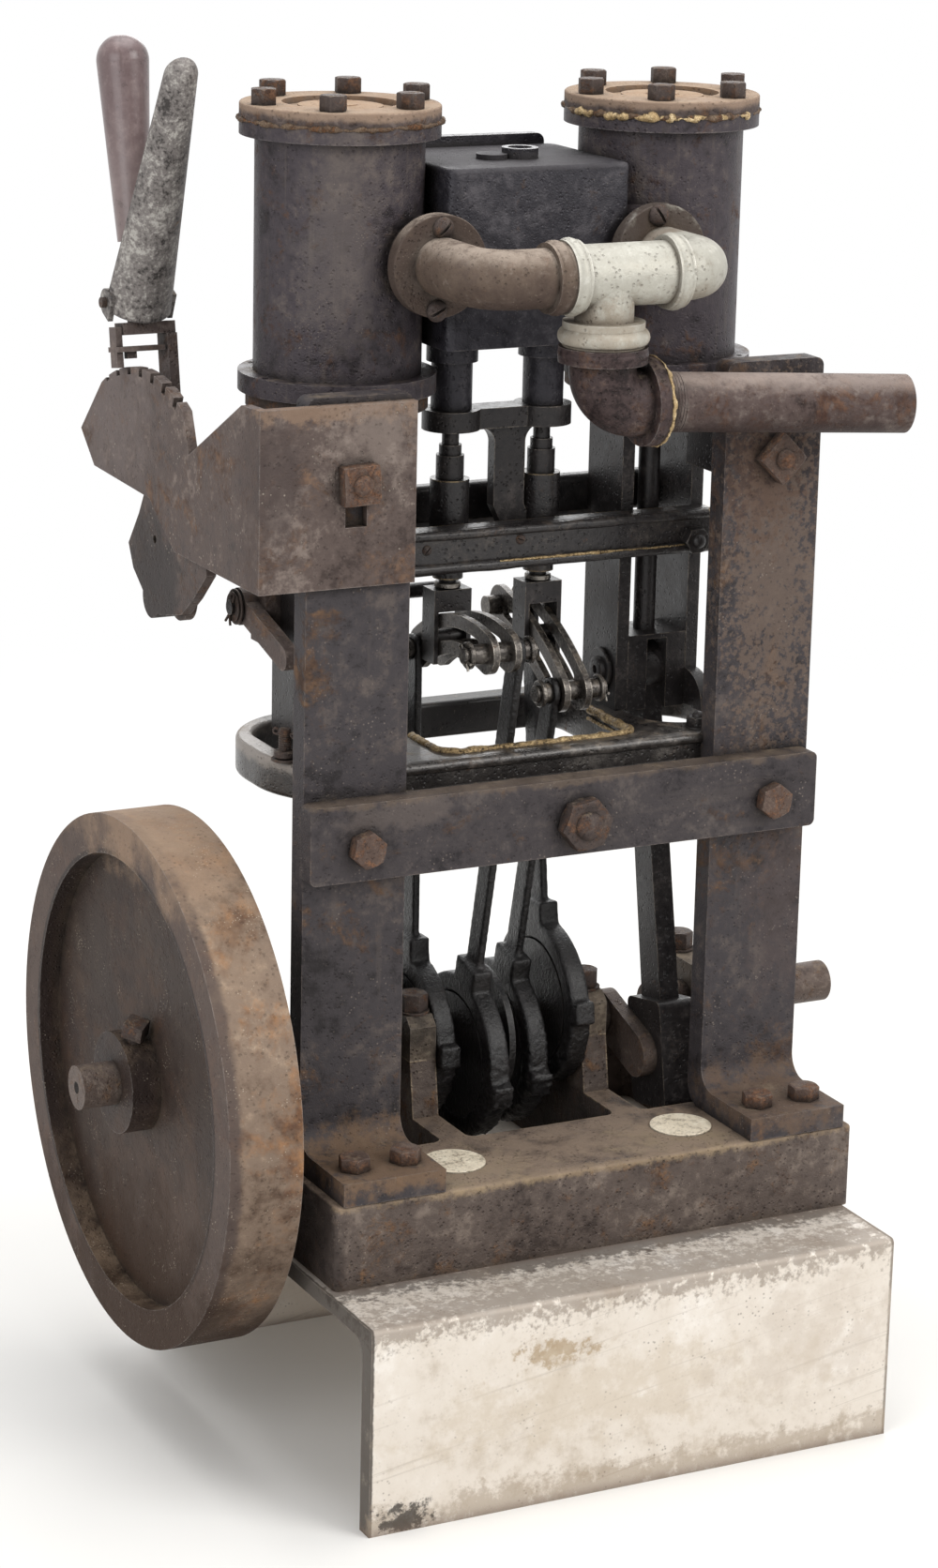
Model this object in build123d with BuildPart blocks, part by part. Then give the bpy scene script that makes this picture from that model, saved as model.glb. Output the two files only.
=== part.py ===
from build123d import *
import math
import os

os.makedirs("parts", exist_ok=True)

# Frame. Sizes below are worked out from a datum that suits the engine: X = 0 midway
# between the two columns, Y = 0 on the columns' front face, Z = 0 on top of the stand.
# Each finished piece is then moved so that the origin is on the floor, under the middle
# of the whole.
shift_x, shift_y = 11.4, -69.0
clear = 0.05

# Aluminium channel stand, web up
stand_x0, stand_x1 = -172.6, 165.6
stand_y0, stand_y1 = -118.5, 186.0
stand_h, stand_web, stand_leg, stand_fillet, stand_edge = 124.0, 9.5, 12.0, 10.0, 3.0

# Base casting
base_x0, base_x1 = -167.9, 170.2
base_y0, base_y1, base_h = -60.4, 186.0, 50.3
base_z1 = base_h
well_y0, well_y1, well_fillet = 12.0, 158.0, 6.0
side_beam, rail_x0, rail_x1 = 31.0, 49.0, 66.0
base_edge = 4.0
plug_x, plug_y, plug_r, plug_proud, plug_deep = 75.0, -21.0, 18.4, 1.2, 6.0

# Crank line and bearings
crank_y, crank_z, shaft_r, end_r = 93.2, 84.5, 13.0, 12.7
bear_w, bear_half_y, bear_foot_y, cap_h, cap_slope = 17.0, 36.0, 42.0, 26.0, 6.0
inner_bear_x, outer_bear_x = 57.5, 148.0
cap_bolt_y, cap_bolt_r, cap_bolt_h = 21.5, 8.4, 12.0

# Columns: flat bars bent forward at the foot
col_w, col_t, col_gap = 63.5, 15.0, 199.7
col_top = {"left": 497.5, "right": 502.0}
foot_y, foot_t, foot_bend, top_round = -60.6, 13.7, 14.0, 5.0
col_x = col_gap / 2 + col_w / 2
foot_bolt_r, foot_bolt_h, foot_bolt_y, foot_bolt_dx = 8.4, 7.0, -40.0, 16.0
slot_w, slot_z0, slot_z1 = 13.0, 426.0, 458.0

# Crossbar
bar_x0, bar_x1, bar_t = -165.1, 162.4, 13.9
bar_z0, bar_z1, bar_edge = 224.6, 269.8, 4.0
bar_bolt_x, bar_bolt_z, bar_bolt_r, bar_bolt_h = 131.8, 244.0, 9.6, 8.0
stud_x, stud_r, stud_len, nut_h = 5.6, 4.8, 16.0, 9.0

# Cylinders and covers
cyl_x, cyl_y, cyl_r, bore_r = 102.8, 93.2, 47.9, 38.0
flange_r, flange_t, cover_t = 56.7, 8.6, 9.1
cover_top = 645.7
foot_flange_top, foot_flange_t, foot_flange_r = 495.0, 11.0, 56.5
cyl_z0 = foot_flange_top - foot_flange_t
cyl_z1 = cover_top - cover_t
head_r, head_t, head_spigot_r, head_neck = 52.0, 9.0, 37.9, 6.0
cover_dish_r, cover_dish_deep, cover_boss_r = 33.0, 3.5, 24.0
cover_bolt_pcd_r, cover_bolt_r, cover_bolt_h, cover_bolt_count = 47.0, 7.6, 9.0, 6
cover_edge = 1.5
gland_r, gland_h, gland_step = 17.0, 26.0, 4.0
flange_hole_r, flange_hole_pcd_r, flange_hole_turn = 1.8, 52.4, 15.0

# Valve chest between the cylinders
chest_x, chest_y0, chest_y1, chest_z0, chest_z1 = 57.5, 45.0, 141.0, 510.0, 612.0
chest_edge = 5.0
chest_door_t, chest_door_in = 8.0, 6.0
inlet_x, inlet_y, inlet_r, inlet_bore, inlet_h, inlet_deep = 6.0, 84.0, 10.5, 7.0, 6.0, 30.0
boss_x, boss_r, boss_h = -12.0, 9.0, 3.0

# Exhaust bosses, flanges and pipework
ex_x, ex_boss_r, ex_flange_r = 70.0, 25.0, 29.0
ex_boss_y, ex_flange_t, ex_bore_r, ex_bore_deep = 38.0, 9.0, 13.0, 20.0
run_y, run_z = -27.0, 561.0
ex_z = run_z
elbow_r, elbow_bend, elbow_end_x = 16.5, 20.0, -24.0
tee_x0, tee_x1, tee_mid = -24.0, 49.0, 3.0
tee_r, bead_r, bead_w = 17.5, 20.5, 9.0
branch_z, branch_bead_r, branch_bead = 522.0, 23.0, 14.0
flange_edge, collar_w, elbow_collar_r = 1.0, 10.0, 19.5
low_z, low_x1, low_r, low_bend, low_collar, low_collar_r = 489.0, 36.0, 19.0, 20.0, 9.0, 25.0
socket_deep, branch_r = 8.0, 16.5
pipe_end_x, pipe_end_y, pipe_end_z = 187.0, -50.0, 482.0
pipe_r, pipe_bore, thread_r, thread_len = 16.8, 13.3, 16.2, 21.5

# Valve rods, glands and the T-shaped bridge
valve_x, valve_y = 29.8, 93.2
valve_rod_r = 5.0
box_r, box_foot_r, box_foot_t, box_z0, box_step, box_neck = 12.0, 17.0, 12.0, 456.0, 2.0, 14.0
bridge_y0, bridge_y1, bridge_z0, bridge_z1 = 84.0, 102.0, 456.0, 468.0
web_x0, web_x1, web_y0, web_y1 = -3.0, 17.0, 89.0, 97.5
web_spread, bridge_round = 6.0, 10.0
sleeve_r, sleeve_z1, collar_r, collar_h = 8.2, 441.0, 6.6, 6.0

# Guide beam with the valve rod bosses
beam_x, beam_y0, beam_y1 = 130.0, 64.0, 76.0
beam_z0, beam_z1, beam_edge = 377.0, 403.0, 3.0
shelf_x, shelf_y1, shelf_z0, shelf_z1 = 74.0, 112.0, 383.0, 397.0
guide_boss_r, guide_boss_z1, under_boss_r, under_boss_z0 = 11.5, 427.0, 9.0, 368.0

# Crosshead guides, rear bar and the arms to the columns
cross_w, guide_t = 39.0, 8.0
guide_in_x1 = cyl_x - cross_w / 2 - clear
guide_in_x0 = guide_in_x1 - guide_t
guide_out_x0 = cyl_x + cross_w / 2 + clear
guide_out_x1 = guide_out_x0 + guide_t
guide_y0, guide_y1 = 76.0, 118.0
ring_z0, ring_z1 = 259.0, 281.0
guide_top = cyl_z0 - head_t
rear_bar_x, rear_bar_t, rear_bar_z0, rear_bar_z1, rear_bar_edge = 130.0, 12.0, 393.0, 417.0, 4.0
arm_z0, arm_z1, arm_x0, arm_x1 = 429.0, 459.0, 118.0, 150.0
arm_pad_t, flare = 9.0, 22.0

# Ring plate that stiffens the frame
ring_x, ring_y0, ring_y1, ring_end_r = 160.0, 15.0, 150.0, 60.0
eye_x, eye_y0, eye_y1, eye_r = 62.0, 28.0, 132.0, 12.0
loop_x0, loop_x1, loop_y0, loop_y1, loop_r = 82.0, 146.0, 38.0, 132.0, 28.0
post_r, ring_edge = 14.0, 3.0

# Crossheads, rods and cranks
piston_rod_r, cross_d, cross_h = 6.5, 34.0, 46.0
crank_r, right_angle_deg, pin_len = 44.5, 198.0, 26.0
rod_length = 236.0
cross_pin_r, cross_disc_r, cross_disc_t = 7.0, 11.0, 3.0
web_t, web_half, pin_r = 9.0, 14.0, 12.0
rod_w, rod_d_top, rod_d_low, rod_eye_r = 13.0, 18.0, 24.0, 15.0
big_w, big_d, big_h, big_round, cross_gap = 24.0, 40.0, 66.0, 5.0, 5.0
shaft_x0, shaft_x1 = -262.8, 240.0

# Eccentrics, rods and slotted links
sheave_r, ecc_throw, strap_r, strap_w, strap_dx = 38.0, 14.0, 50.0, 13.0, 11.8
ecc_rod_w, ecc_rod_d, strap_lug_w, strap_lug_d = 5.0, 16.0, 12.0, 26.0
disc_x, disc_w, disc_r = -2.0, 4.0, 41.0
link_plate_t, link_gap, link_half_h, link_boss_r = 4.0, 10.0, 12.0, 9.0
link_pin_r, link_pin_half = 6.0, 18.0
fork_half_x, fork_half_y, fork_cheek, fork_z0, fork_z1, fork_under = 12.0, 8.0, 2.8, 318.0, 362.0, 349.0
fork_pin_r = 3.6
left_front_y, left_front_z, left_rear_y, left_rear_z = 26.0, 338.0, 112.0, 322.0
right_front_y, right_front_z, right_rear_y, right_rear_z = 50.0, 304.0, 125.0, 340.0
link_bow, link_slot, link_slot_start = {"left": 10.0, "right": 6.0}, 8.0, 0.12
ecc_lead, strap_ear, strap_ear_out = 110.0, 14.0, 6.0

# Reversing cross shaft at the back
rev_y, rev_z, rev_r, rev_x0, rev_x1 = 127.0, 353.0, 4.5, -154.0, -8.0
lug_r, lug_x0, lug_drop, lug_arm_t, lug_arm_w = 11.0, -148.0, 20.0, 8.0, 14.0
lug_tip_y, lug_tip_z = 66.0, 336.0
rev_arm_t, rev_arm_len, rev_head = 8.0, 30.0, 7.5

# Flywheel
wheel_x0, wheel_x1, wheel_r, wheel_in_r = -234.4, -189.9, 157.1, 133.7
wheel_disc_x0, wheel_disc_x1, hub_r, hub_x0, hub_x1 = -222.0, -206.0, 30.0, -240.0, -184.0

# Lever bracket with its notched quadrant
plate_x0, plate_x1, plate_t = -194.5, -99.9, 6.0
plate_z0, plate_z1 = 392.0, 494.0
plate_y = -6.0
quad_reach = 262.0
# Outline of the folded-back side, as shares of its reach and of the plate's height
quad_shares = ((0.0, 1.0), (0.095, 0.99), (0.374, 0.588), (0.408, 0.814))
quad_top_share = (0.645, 0.951)
quad_back_shares = ((0.874, 0.775), (1.0, 0.451), (0.92, 0.265), (0.595, 0.235), (0.454, 0.0))
notch_w, notch_deep, notch_first, notch_step, notch_count, notch_r = 5.0, 4.0, -22.0, 7.5, 7, 134.0
plate_nut_r, plate_nut_z, right_nut_z, plate_nut_x, right_nut_x = 14.5, 450.5, 445.5, 136.4, 134.6

# Reversing lever, its grip, trigger and catch
pivot_y, pivot_z, pivot_r, lean_deg = 162.0, 354.0, 6.0, 9.5
hanger_t, hanger_r = 6.0, 12.0
# Outline of the hanger under the quadrant, in the same shares
hanger_shares = (
    (0.656, 0.314), (0.710, 0.085), (0.771, -0.118), (0.743, -0.251), (0.687, -0.353), (0.641, -0.451),
    (0.579, -0.441), (0.467, -0.375), (0.399, -0.246), (0.327, -0.077), (0.344, 0.137), (0.481, 0.314),
)
hanger_boss_y, hanger_boss_z, hanger_boss_r, hanger_boss_t = 176.0, 376.0, 17.0, 4.5
key_y, key_z, key_r = 155.7, 390.0, 2.5
lever_x0, lever_x1, lever_w, lever_boss_r = -171.0, -165.0, 16.0, 15.0
yoke_x0, yoke_up0, yoke_up1, yoke_front, yoke_back = -197.1, 152.6, 159.6, -6.0, 8.0
neck_x0, neck_x1 = -189.0, -181.0
grip_x, grip_z0, grip_z1, grip_r0, grip_r1 = -185.0, 206.0, 324.0, 9.5, 15.2
trig_pin_up, trig_pin_r, trig_lean_deg = 172.0, 3.0, 24.5
trig_len, trig_drop, trig_r0, trig_r1, trig_wall, trig_cheek = 150.0, 2.5, 20.0, 10.0, 3.0, 8.0
catch_gap, tooth_h, catch_t, catch_front, catch_back = 5.0, 4.0, 3.0, -7.0, 9.0
catch_x0, catch_x1, strap_t, strap_front, strap_back, strap_up = -201.5, -172.5, 4.0, -4.0, 6.0, 157.5


over = 1.0


def save(piece, name):
    """Label a finished piece, move it into the row frame and write it."""
    piece.part.label = name
    placed = piece.part.moved(Location((shift_x, shift_y, stand_h)))
    placed.label = name
    export_step(placed, "parts/" + name + ".step")


like_pieces = {}


def keep(piece, name):
    """Hold a finished piece for the node that it shares with its like."""
    like_pieces.setdefault(name, []).append(piece)


def save_like_pieces():
    for name, pieces in like_pieces.items():
        with BuildPart() as group:
            for piece in pieces:
                add(piece.part)
        save(group, name)


def block(x0, x1, y0, y1, z0, z1, mode=Mode.ADD):
    """A box given by its limits, added to or cut from the piece being built."""
    with BuildSketch(Plane.XY.offset(z0)) as profile:
        with Locations(((x0 + x1) / 2, (y0 + y1) / 2)):
            Rectangle(abs(x1 - x0), abs(y1 - y0))
    extrude(profile.sketch, amount=z1 - z0, mode=mode)


def along_z(x, y, r, z0, z1, mode=Mode.ADD):
    """A round bar or hole that stands upright."""
    with BuildSketch(Plane.XY.offset(z0)) as profile:
        with Locations((x, y)):
            Circle(r)
    extrude(profile.sketch, amount=z1 - z0, mode=mode)


def along_x(y, z, r, x0, x1, mode=Mode.ADD):
    """A round bar or hole that lies across the engine."""
    with BuildSketch(Plane.YZ.offset(x0)) as profile:
        with Locations((y, z)):
            Circle(r)
    extrude(profile.sketch, amount=x1 - x0, mode=mode)


def along_y(x, z, r, y0, y1, mode=Mode.ADD):
    """A round bar or hole that runs from front to back."""
    with BuildSketch(Plane.XZ.offset(-y1)) as profile:
        with Locations((x, z)):
            Circle(r)
    extrude(profile.sketch, amount=y1 - y0, mode=mode)


def hex_z(x, y, r, z0, z1):
    """A hexagon head on an upright bolt."""
    with BuildSketch(Plane.XY.offset(z0)) as profile:
        with Locations((x, y)):
            RegularPolygon(r, 6)
    extrude(profile.sketch, amount=z1 - z0)


def hex_y(x, z, r, y0, y1, sides=6, turn=0):
    """A head or nut on a bolt that runs from front to back."""
    with BuildSketch(Plane.XZ.offset(-y1)) as profile:
        with Locations((x, z)):
            RegularPolygon(r, sides, rotation=turn)
    extrude(profile.sketch, amount=y1 - y0)


# Aluminium channel stand
with BuildPart() as stand:
    with BuildSketch(Plane.YZ.offset(stand_x0)):
        with Locations(((stand_y0 + stand_y1) / 2, -stand_h / 2)):
            Rectangle(stand_y1 - stand_y0, stand_h)
        with Locations(((stand_y0 + stand_y1) / 2, -(stand_h + stand_web) / 2)):
            Rectangle(stand_y1 - stand_y0 - 2 * stand_leg, stand_h - stand_web, mode=Mode.SUBTRACT)
    extrude(amount=stand_x1 - stand_x0)
    long_edges = stand.edges().filter_by(Axis.X)
    roots = long_edges.filter_by_position(Axis.Z, -stand_web - over, -stand_web + over)
    fillet(roots, stand_fillet)
    crown = stand.edges().filter_by(Axis.X).filter_by_position(Axis.Z, -over, over)
    fillet(crown, stand_edge)
save(stand, "channel_stand")

# Base casting: a flat frame with two cross rails that carry the inner bearings
well_x0 = base_x0 + side_beam
well_x1 = base_x1 - side_beam
with BuildPart() as base:
    block(base_x0, base_x1, base_y0, base_y1, 0, base_z1)
    fillet(base.edges().filter_by(Axis.Z), base_edge)
    fillet(base.faces().sort_by(Axis.Z)[-1].edges(), base_edge / 2)
    with BuildSketch(Plane.XY.offset(base_z1)):
        for x0, x1 in ((well_x0, -rail_x1), (-rail_x0, rail_x0), (rail_x1, well_x1)):
            with Locations(((x0 + x1) / 2, (well_y0 + well_y1) / 2)):
                RectangleRounded(x1 - x0, well_y1 - well_y0, well_fillet)
    extrude(amount=-base_h, mode=Mode.SUBTRACT)
    # Bearing pedestals, wider at the foot than under the cap
    for x in (-outer_bear_x, -inner_bear_x, inner_bear_x, outer_bear_x):
        with BuildSketch(Plane.YZ.offset(x - bear_w / 2)):
            with BuildLine():
                Polyline(
                    (crank_y - bear_foot_y, base_z1 - base_edge),
                    (crank_y + bear_foot_y, base_z1 - base_edge),
                    (crank_y + bear_half_y, crank_z),
                    (crank_y - bear_half_y, crank_z),
                    close=True,
                )
            make_face()
        extrude(amount=bear_w)
    along_x(crank_y, crank_z, shaft_r + clear, base_x0 - over, base_x1 + over, mode=Mode.SUBTRACT)
    for x in (-plug_x, plug_x):
        along_z(x, plug_y, plug_r, base_z1 - plug_deep, base_z1, mode=Mode.SUBTRACT)
save(base, "base_casting")

with BuildPart() as plugs:
    with BuildSketch(Plane.XY.offset(base_z1 - plug_deep)):
        with Locations((-plug_x, plug_y), (plug_x, plug_y)):
            Circle(plug_r)
    extrude(amount=plug_deep + plug_proud)
    fillet(plugs.faces().filter_by(Plane.XY).group_by(Axis.Z)[-1].edges(), plug_proud / 2)
save(plugs, "base_plugs")

# Bearing caps with sloping shoulders, inner pair and outer pair
for x in (inner_bear_x, outer_bear_x):
    with BuildPart() as caps:
        for side in (-1, 1):
            with BuildSketch(Plane.YZ.offset(side * x - bear_w / 2)):
                with BuildLine():
                    Polyline(
                        (crank_y - bear_half_y, crank_z),
                        (crank_y + bear_half_y, crank_z),
                        (crank_y + bear_half_y, crank_z + cap_h - cap_slope),
                        (crank_y + bear_half_y - cap_slope, crank_z + cap_h),
                        (crank_y - bear_half_y + cap_slope, crank_z + cap_h),
                        (crank_y - bear_half_y, crank_z + cap_h - cap_slope),
                        close=True,
                    )
                make_face()
                with Locations((crank_y, crank_z)):
                    Circle(shaft_r + clear, mode=Mode.SUBTRACT)
            extrude(amount=bear_w)
    keep(caps, "bearing_caps")
with BuildPart() as cap_bolts:
    for x in (-outer_bear_x, -inner_bear_x, inner_bear_x, outer_bear_x):
        for y in (crank_y - cap_bolt_y, crank_y + cap_bolt_y):
            hex_z(x, y, cap_bolt_r, crank_z + cap_h, crank_z + cap_h + cap_bolt_h)
save(cap_bolts, "bearing_cap_bolts")

# Columns: flat bars, each bent forward into a foot that is bolted to the base
for name, side in (("left", -1), ("right", 1)):
    with BuildPart() as column:
        with BuildSketch(Plane.YZ.offset(side * col_x - col_w / 2)):
            with BuildLine():
                Polyline(
                    (foot_y, base_z1),
                    (col_t, base_z1),
                    (col_t, col_top[name]),
                    (0, col_top[name]),
                    (0, base_z1 + foot_t),
                    (foot_y, base_z1 + foot_t),
                    close=True,
                )
            make_face()
        extrude(amount=col_w)
        bends = column.edges().filter_by(Axis.X)
        fillet(bends.filter_by_position(Axis.Y, -clear, clear).sort_by(Axis.Z)[0], foot_bend)
        heel = column.edges().filter_by(Axis.X).filter_by_position(Axis.Y, col_t - clear, col_t + clear)
        fillet(heel.sort_by(Axis.Z)[0], foot_bend)
        fillet(column.edges().filter_by(Axis.Y).group_by(Axis.Z)[-1], top_round)
    save(column, "column_" + name)

with BuildPart() as foot_bolts:
    for side in (-1, 1):
        for step in (-1, 1):
            x = side * col_x + step * foot_bolt_dx
            hex_z(x, foot_bolt_y, foot_bolt_r, base_z1 + foot_t, base_z1 + foot_t + foot_bolt_h)
save(foot_bolts, "foot_bolts")

# Crossbar with rounded corners, held by two bolts and a middle stud
with BuildPart() as crossbar:
    with BuildSketch(Plane.XZ.offset(bar_t)):
        with Locations(((bar_x0 + bar_x1) / 2, (bar_z0 + bar_z1) / 2)):
            RectangleRounded(bar_x1 - bar_x0, bar_z1 - bar_z0, bar_edge)
    extrude(amount=-bar_t)
    along_y(stud_x, bar_bolt_z, stud_r, -bar_t, 0, mode=Mode.SUBTRACT)
save(crossbar, "crossbar")

with BuildPart() as bar_bolts:
    for x in (-bar_bolt_x, bar_bolt_x):
        hex_y(x, bar_bolt_z, bar_bolt_r, -bar_t - bar_bolt_h, -bar_t)
save(bar_bolts, "crossbar_bolts")

with BuildPart() as stud:
    along_y(stud_x, bar_bolt_z, stud_r, -bar_t - nut_h - stud_r, 0)
    hex_y(stud_x, bar_bolt_z, 2 * stud_r, -bar_t - nut_h, -bar_t)
save(stud, "crossbar_stud")

# Cylinders with their flanges and exhaust bosses
for name, side in (("left", -1), ("right", 1)):
    x = side * cyl_x
    with BuildPart() as cylinder:
        with BuildSketch(Plane.XZ.offset(-cyl_y)):
            with BuildLine():
                Polyline(
                    (x + bore_r, cyl_z0),
                    (x + foot_flange_r, cyl_z0),
                    (x + foot_flange_r, foot_flange_top),
                    (x + cyl_r, foot_flange_top),
                    (x + cyl_r, cyl_z1 - flange_t),
                    (x + flange_r, cyl_z1 - flange_t),
                    (x + flange_r, cyl_z1),
                    (x + bore_r, cyl_z1),
                    close=True,
                )
            make_face()
        revolve(axis=Axis((x, cyl_y, 0), (0, 0, 1)))
        along_y(side * ex_x, ex_z, ex_boss_r, ex_boss_y, cyl_y)
        # The passage inside the boss opens to the front only
        along_y(side * ex_x, ex_z, ex_bore_r, ex_boss_y, ex_boss_y + ex_bore_deep, mode=Mode.SUBTRACT)
        along_z(x, cyl_y, bore_r, cyl_z0, cyl_z1, mode=Mode.SUBTRACT)
        block(-chest_x * side, chest_x * side, chest_y0, chest_y1, chest_z0, chest_z1, mode=Mode.SUBTRACT)
        with BuildSketch(Plane.XY.offset(cyl_z0)):
            with Locations((x, cyl_y)):
                with PolarLocations(flange_hole_pcd_r, cover_bolt_count, start_angle=flange_hole_turn):
                    Circle(flange_hole_r)
        extrude(amount=foot_flange_t, mode=Mode.SUBTRACT)
    save(cylinder, "cylinder_" + name)

    with BuildPart() as cover:
        along_z(x, cyl_y, flange_r, cyl_z1, cover_top)
        fillet(cover.faces().sort_by(Axis.Z)[-1].edges(), cover_edge)
        along_z(x, cyl_y, cover_dish_r, cover_top - cover_dish_deep, cover_top, mode=Mode.SUBTRACT)
        along_z(x, cyl_y, cover_boss_r, cover_top - cover_dish_deep, cover_top - cover_edge)
        along_z(x, cyl_y, bore_r - 2 * clear, cyl_z1 - cover_t, cyl_z1)
    keep(cover, "cylinder_covers")

    with BuildPart() as cover_bolts:
        with BuildSketch(Plane.XY.offset(cover_top)):
            with Locations((x, cyl_y)):
                with PolarLocations(cover_bolt_pcd_r, cover_bolt_count):
                    RegularPolygon(cover_bolt_r, 6)
        extrude(amount=cover_bolt_h)
    keep(cover_bolts, "cover_bolts")

    # Bottom head with the piston rod gland below it
    with BuildPart() as head:
        with BuildSketch(Plane.XZ.offset(-cyl_y)):
            with BuildLine():
                Polyline(
                    (x + piston_rod_r + clear, guide_top - gland_h),
                    (x + gland_r - gland_step, guide_top - gland_h),
                    (x + gland_r, guide_top - gland_h / 2),
                    (x + gland_r, guide_top),
                    (x + head_r, guide_top),
                    (x + head_r, cyl_z0),
                    (x + bore_r - 2 * clear, cyl_z0),
                    (x + bore_r - 2 * clear, cyl_z0 + head_neck),
                    (x + piston_rod_r + clear, cyl_z0 + head_neck),
                    close=True,
                )
            make_face()
        revolve(axis=Axis((x, cyl_y, 0), (0, 0, 1)))
    keep(head, "cylinder_heads")

# Valve chest between the cylinders, hollowed to their round sides
with BuildPart() as chest:
    block(-chest_x, chest_x, chest_y0, chest_y1, chest_z0, chest_z1)
    fillet(chest.edges().filter_by(Axis.Z), chest_edge)
    fillet(chest.faces().sort_by(Axis.Z)[-1].edges(), chest_edge / 2)
    for x in (-cyl_x, cyl_x):
        along_z(x, cyl_y, cyl_r, chest_z0, chest_z1, mode=Mode.SUBTRACT)
    for x in (-ex_x, ex_x):
        along_y(x, ex_z, ex_boss_r, ex_boss_y, cyl_y, mode=Mode.SUBTRACT)
    along_z(inlet_x, inlet_y, inlet_r, chest_z1, chest_z1 + inlet_h)
    along_z(inlet_x, inlet_y, inlet_bore, chest_z1 - inlet_deep, chest_z1 + inlet_h, mode=Mode.SUBTRACT)
    along_z(boss_x, inlet_y, boss_r, chest_z1, chest_z1 + boss_h)
    along_z(inlet_x, inlet_y, inlet_bore, chest_z1 - inlet_deep, chest_z1 + inlet_h, mode=Mode.SUBTRACT)
    for x in (-valve_x, valve_x):
        along_z(x, valve_y, box_r, box_z0 + box_foot_t, chest_z0)
        along_z(x, valve_y, box_foot_r - box_step, chest_z0 - box_neck, chest_z0)
save(chest, "valve_chest")

with BuildPart() as door:
    block(-chest_x + chest_door_in, chest_x - chest_door_in, chest_y1, chest_y1 + chest_door_t,
          chest_z0 + chest_door_in, chest_z1 + chest_door_in)
    fillet(door.edges().filter_by(Axis.Y), chest_edge)
save(door, "chest_door")

# Exhaust flanges, elbows, tee and the pipe that carries the steam away
def pipe_run(points, r, bend):
    """A round casting swept along a run with rounded turns."""
    with BuildLine() as run:
        FilletPolyline(*points, radius=bend)
    start = Plane(origin=run.line @ 0, z_dir=run.line % 0)
    with BuildSketch(start) as profile:
        Circle(r)
    sweep(profile.sketch, path=run.line)


flange_front = ex_boss_y - ex_flange_t
with BuildPart() as elbow_left:
    along_y(-ex_x, ex_z, ex_flange_r, flange_front, ex_boss_y)
    fillet(elbow_left.edges().filter_by(GeomType.CIRCLE), flange_edge)
    pipe_run(((-ex_x, ex_boss_y, ex_z), (-ex_x, run_y, run_z), (tee_x0, run_y, run_z)), elbow_r, elbow_bend)
    along_x(run_y, run_z, elbow_collar_r, tee_x0 - collar_w, tee_x0)
save(elbow_left, "exhaust_elbow_left")

with BuildPart() as elbow_right:
    along_y(ex_x, ex_z, ex_flange_r, flange_front, ex_boss_y)
    fillet(elbow_right.edges().filter_by(GeomType.CIRCLE), flange_edge)
    pipe_run(((ex_x, ex_boss_y, ex_z), (ex_x, run_y, run_z), (tee_x1, run_y, run_z)), elbow_r, elbow_bend)
save(elbow_right, "exhaust_elbow_right")

with BuildPart() as tee:
    along_x(run_y, run_z, tee_r, tee_x0, tee_x1)
    along_x(run_y, run_z, bead_r, tee_x0, tee_x0 + bead_w)
    along_x(run_y, run_z, bead_r, tee_x1 - bead_w, tee_x1)
    along_z(tee_mid, run_y, branch_r, branch_z, run_z)
    along_z(tee_mid, run_y, branch_bead_r, branch_z, branch_z + branch_bead)
save(tee, "exhaust_tee")

socket_x = low_x1 - socket_deep
pipe_dir = Vector(pipe_end_x - socket_x, pipe_end_y - run_y, pipe_end_z - low_z)
pipe_start = Plane(origin=(socket_x, run_y, low_z), z_dir=pipe_dir)
with BuildPart() as elbow_lower:
    along_z(tee_mid, run_y, low_collar_r, branch_z - low_collar, branch_z)
    pipe_run(((tee_mid, run_y, branch_z), (tee_mid, run_y, low_z), (low_x1, run_y, low_z)), low_r, low_bend)
    along_x(run_y, low_z, low_collar_r, low_x1 - low_collar, low_x1)
    with BuildSketch(pipe_start):
        Circle(thread_r + clear)
    extrude(amount=2 * socket_deep, mode=Mode.SUBTRACT)
save(elbow_lower, "exhaust_elbow_lower")

with BuildPart() as pipe:
    # The threaded end is turned down a little
    with BuildSketch(pipe_start):
        Circle(thread_r)
        Circle(pipe_bore, mode=Mode.SUBTRACT)
    extrude(amount=thread_len)
    with BuildSketch(pipe_start.offset(thread_len)):
        Circle(pipe_r)
        Circle(pipe_bore, mode=Mode.SUBTRACT)
    extrude(amount=pipe_dir.length - thread_len)
save(pipe, "exhaust_pipe")

# T-shaped bridge between the stuffing box flanges, with its web down to the guide beam
with BuildPart() as bridge:
    block(-valve_x, valve_x, bridge_y0, bridge_y1, bridge_z0, bridge_z1)
    for x in (-valve_x, valve_x):
        along_z(x, valve_y, box_foot_r, bridge_z0, bridge_z1)
    with BuildSketch(Plane.XZ.offset(-web_y1)):
        with BuildLine():
            Polyline(
                (web_x0, bridge_z0),
                (web_x0, beam_z1 + web_spread),
                (web_x0 + web_spread, shelf_z1),
                (web_x1 + web_spread, shelf_z1),
                (web_x1, beam_z1 + web_spread),
                (web_x1, bridge_z0),
                close=True,
            )
        make_face()
    extrude(amount=web_y1 - web_y0)
    corners = bridge.edges().filter_by(Axis.Y).filter_by_position(Axis.Z, bridge_z0 - clear, bridge_z0 + clear)
    fillet(corners.filter_by_position(Axis.X, web_x0 - clear, web_x1 + clear), bridge_round)
    for x in (-valve_x, valve_x):
        along_z(x, valve_y, valve_rod_r + clear, bridge_z0, bridge_z1, mode=Mode.SUBTRACT)
        along_z(x, valve_y, guide_boss_r + clear, shelf_z1, guide_boss_z1, mode=Mode.SUBTRACT)
save(bridge, "gland_bridge")

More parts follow.
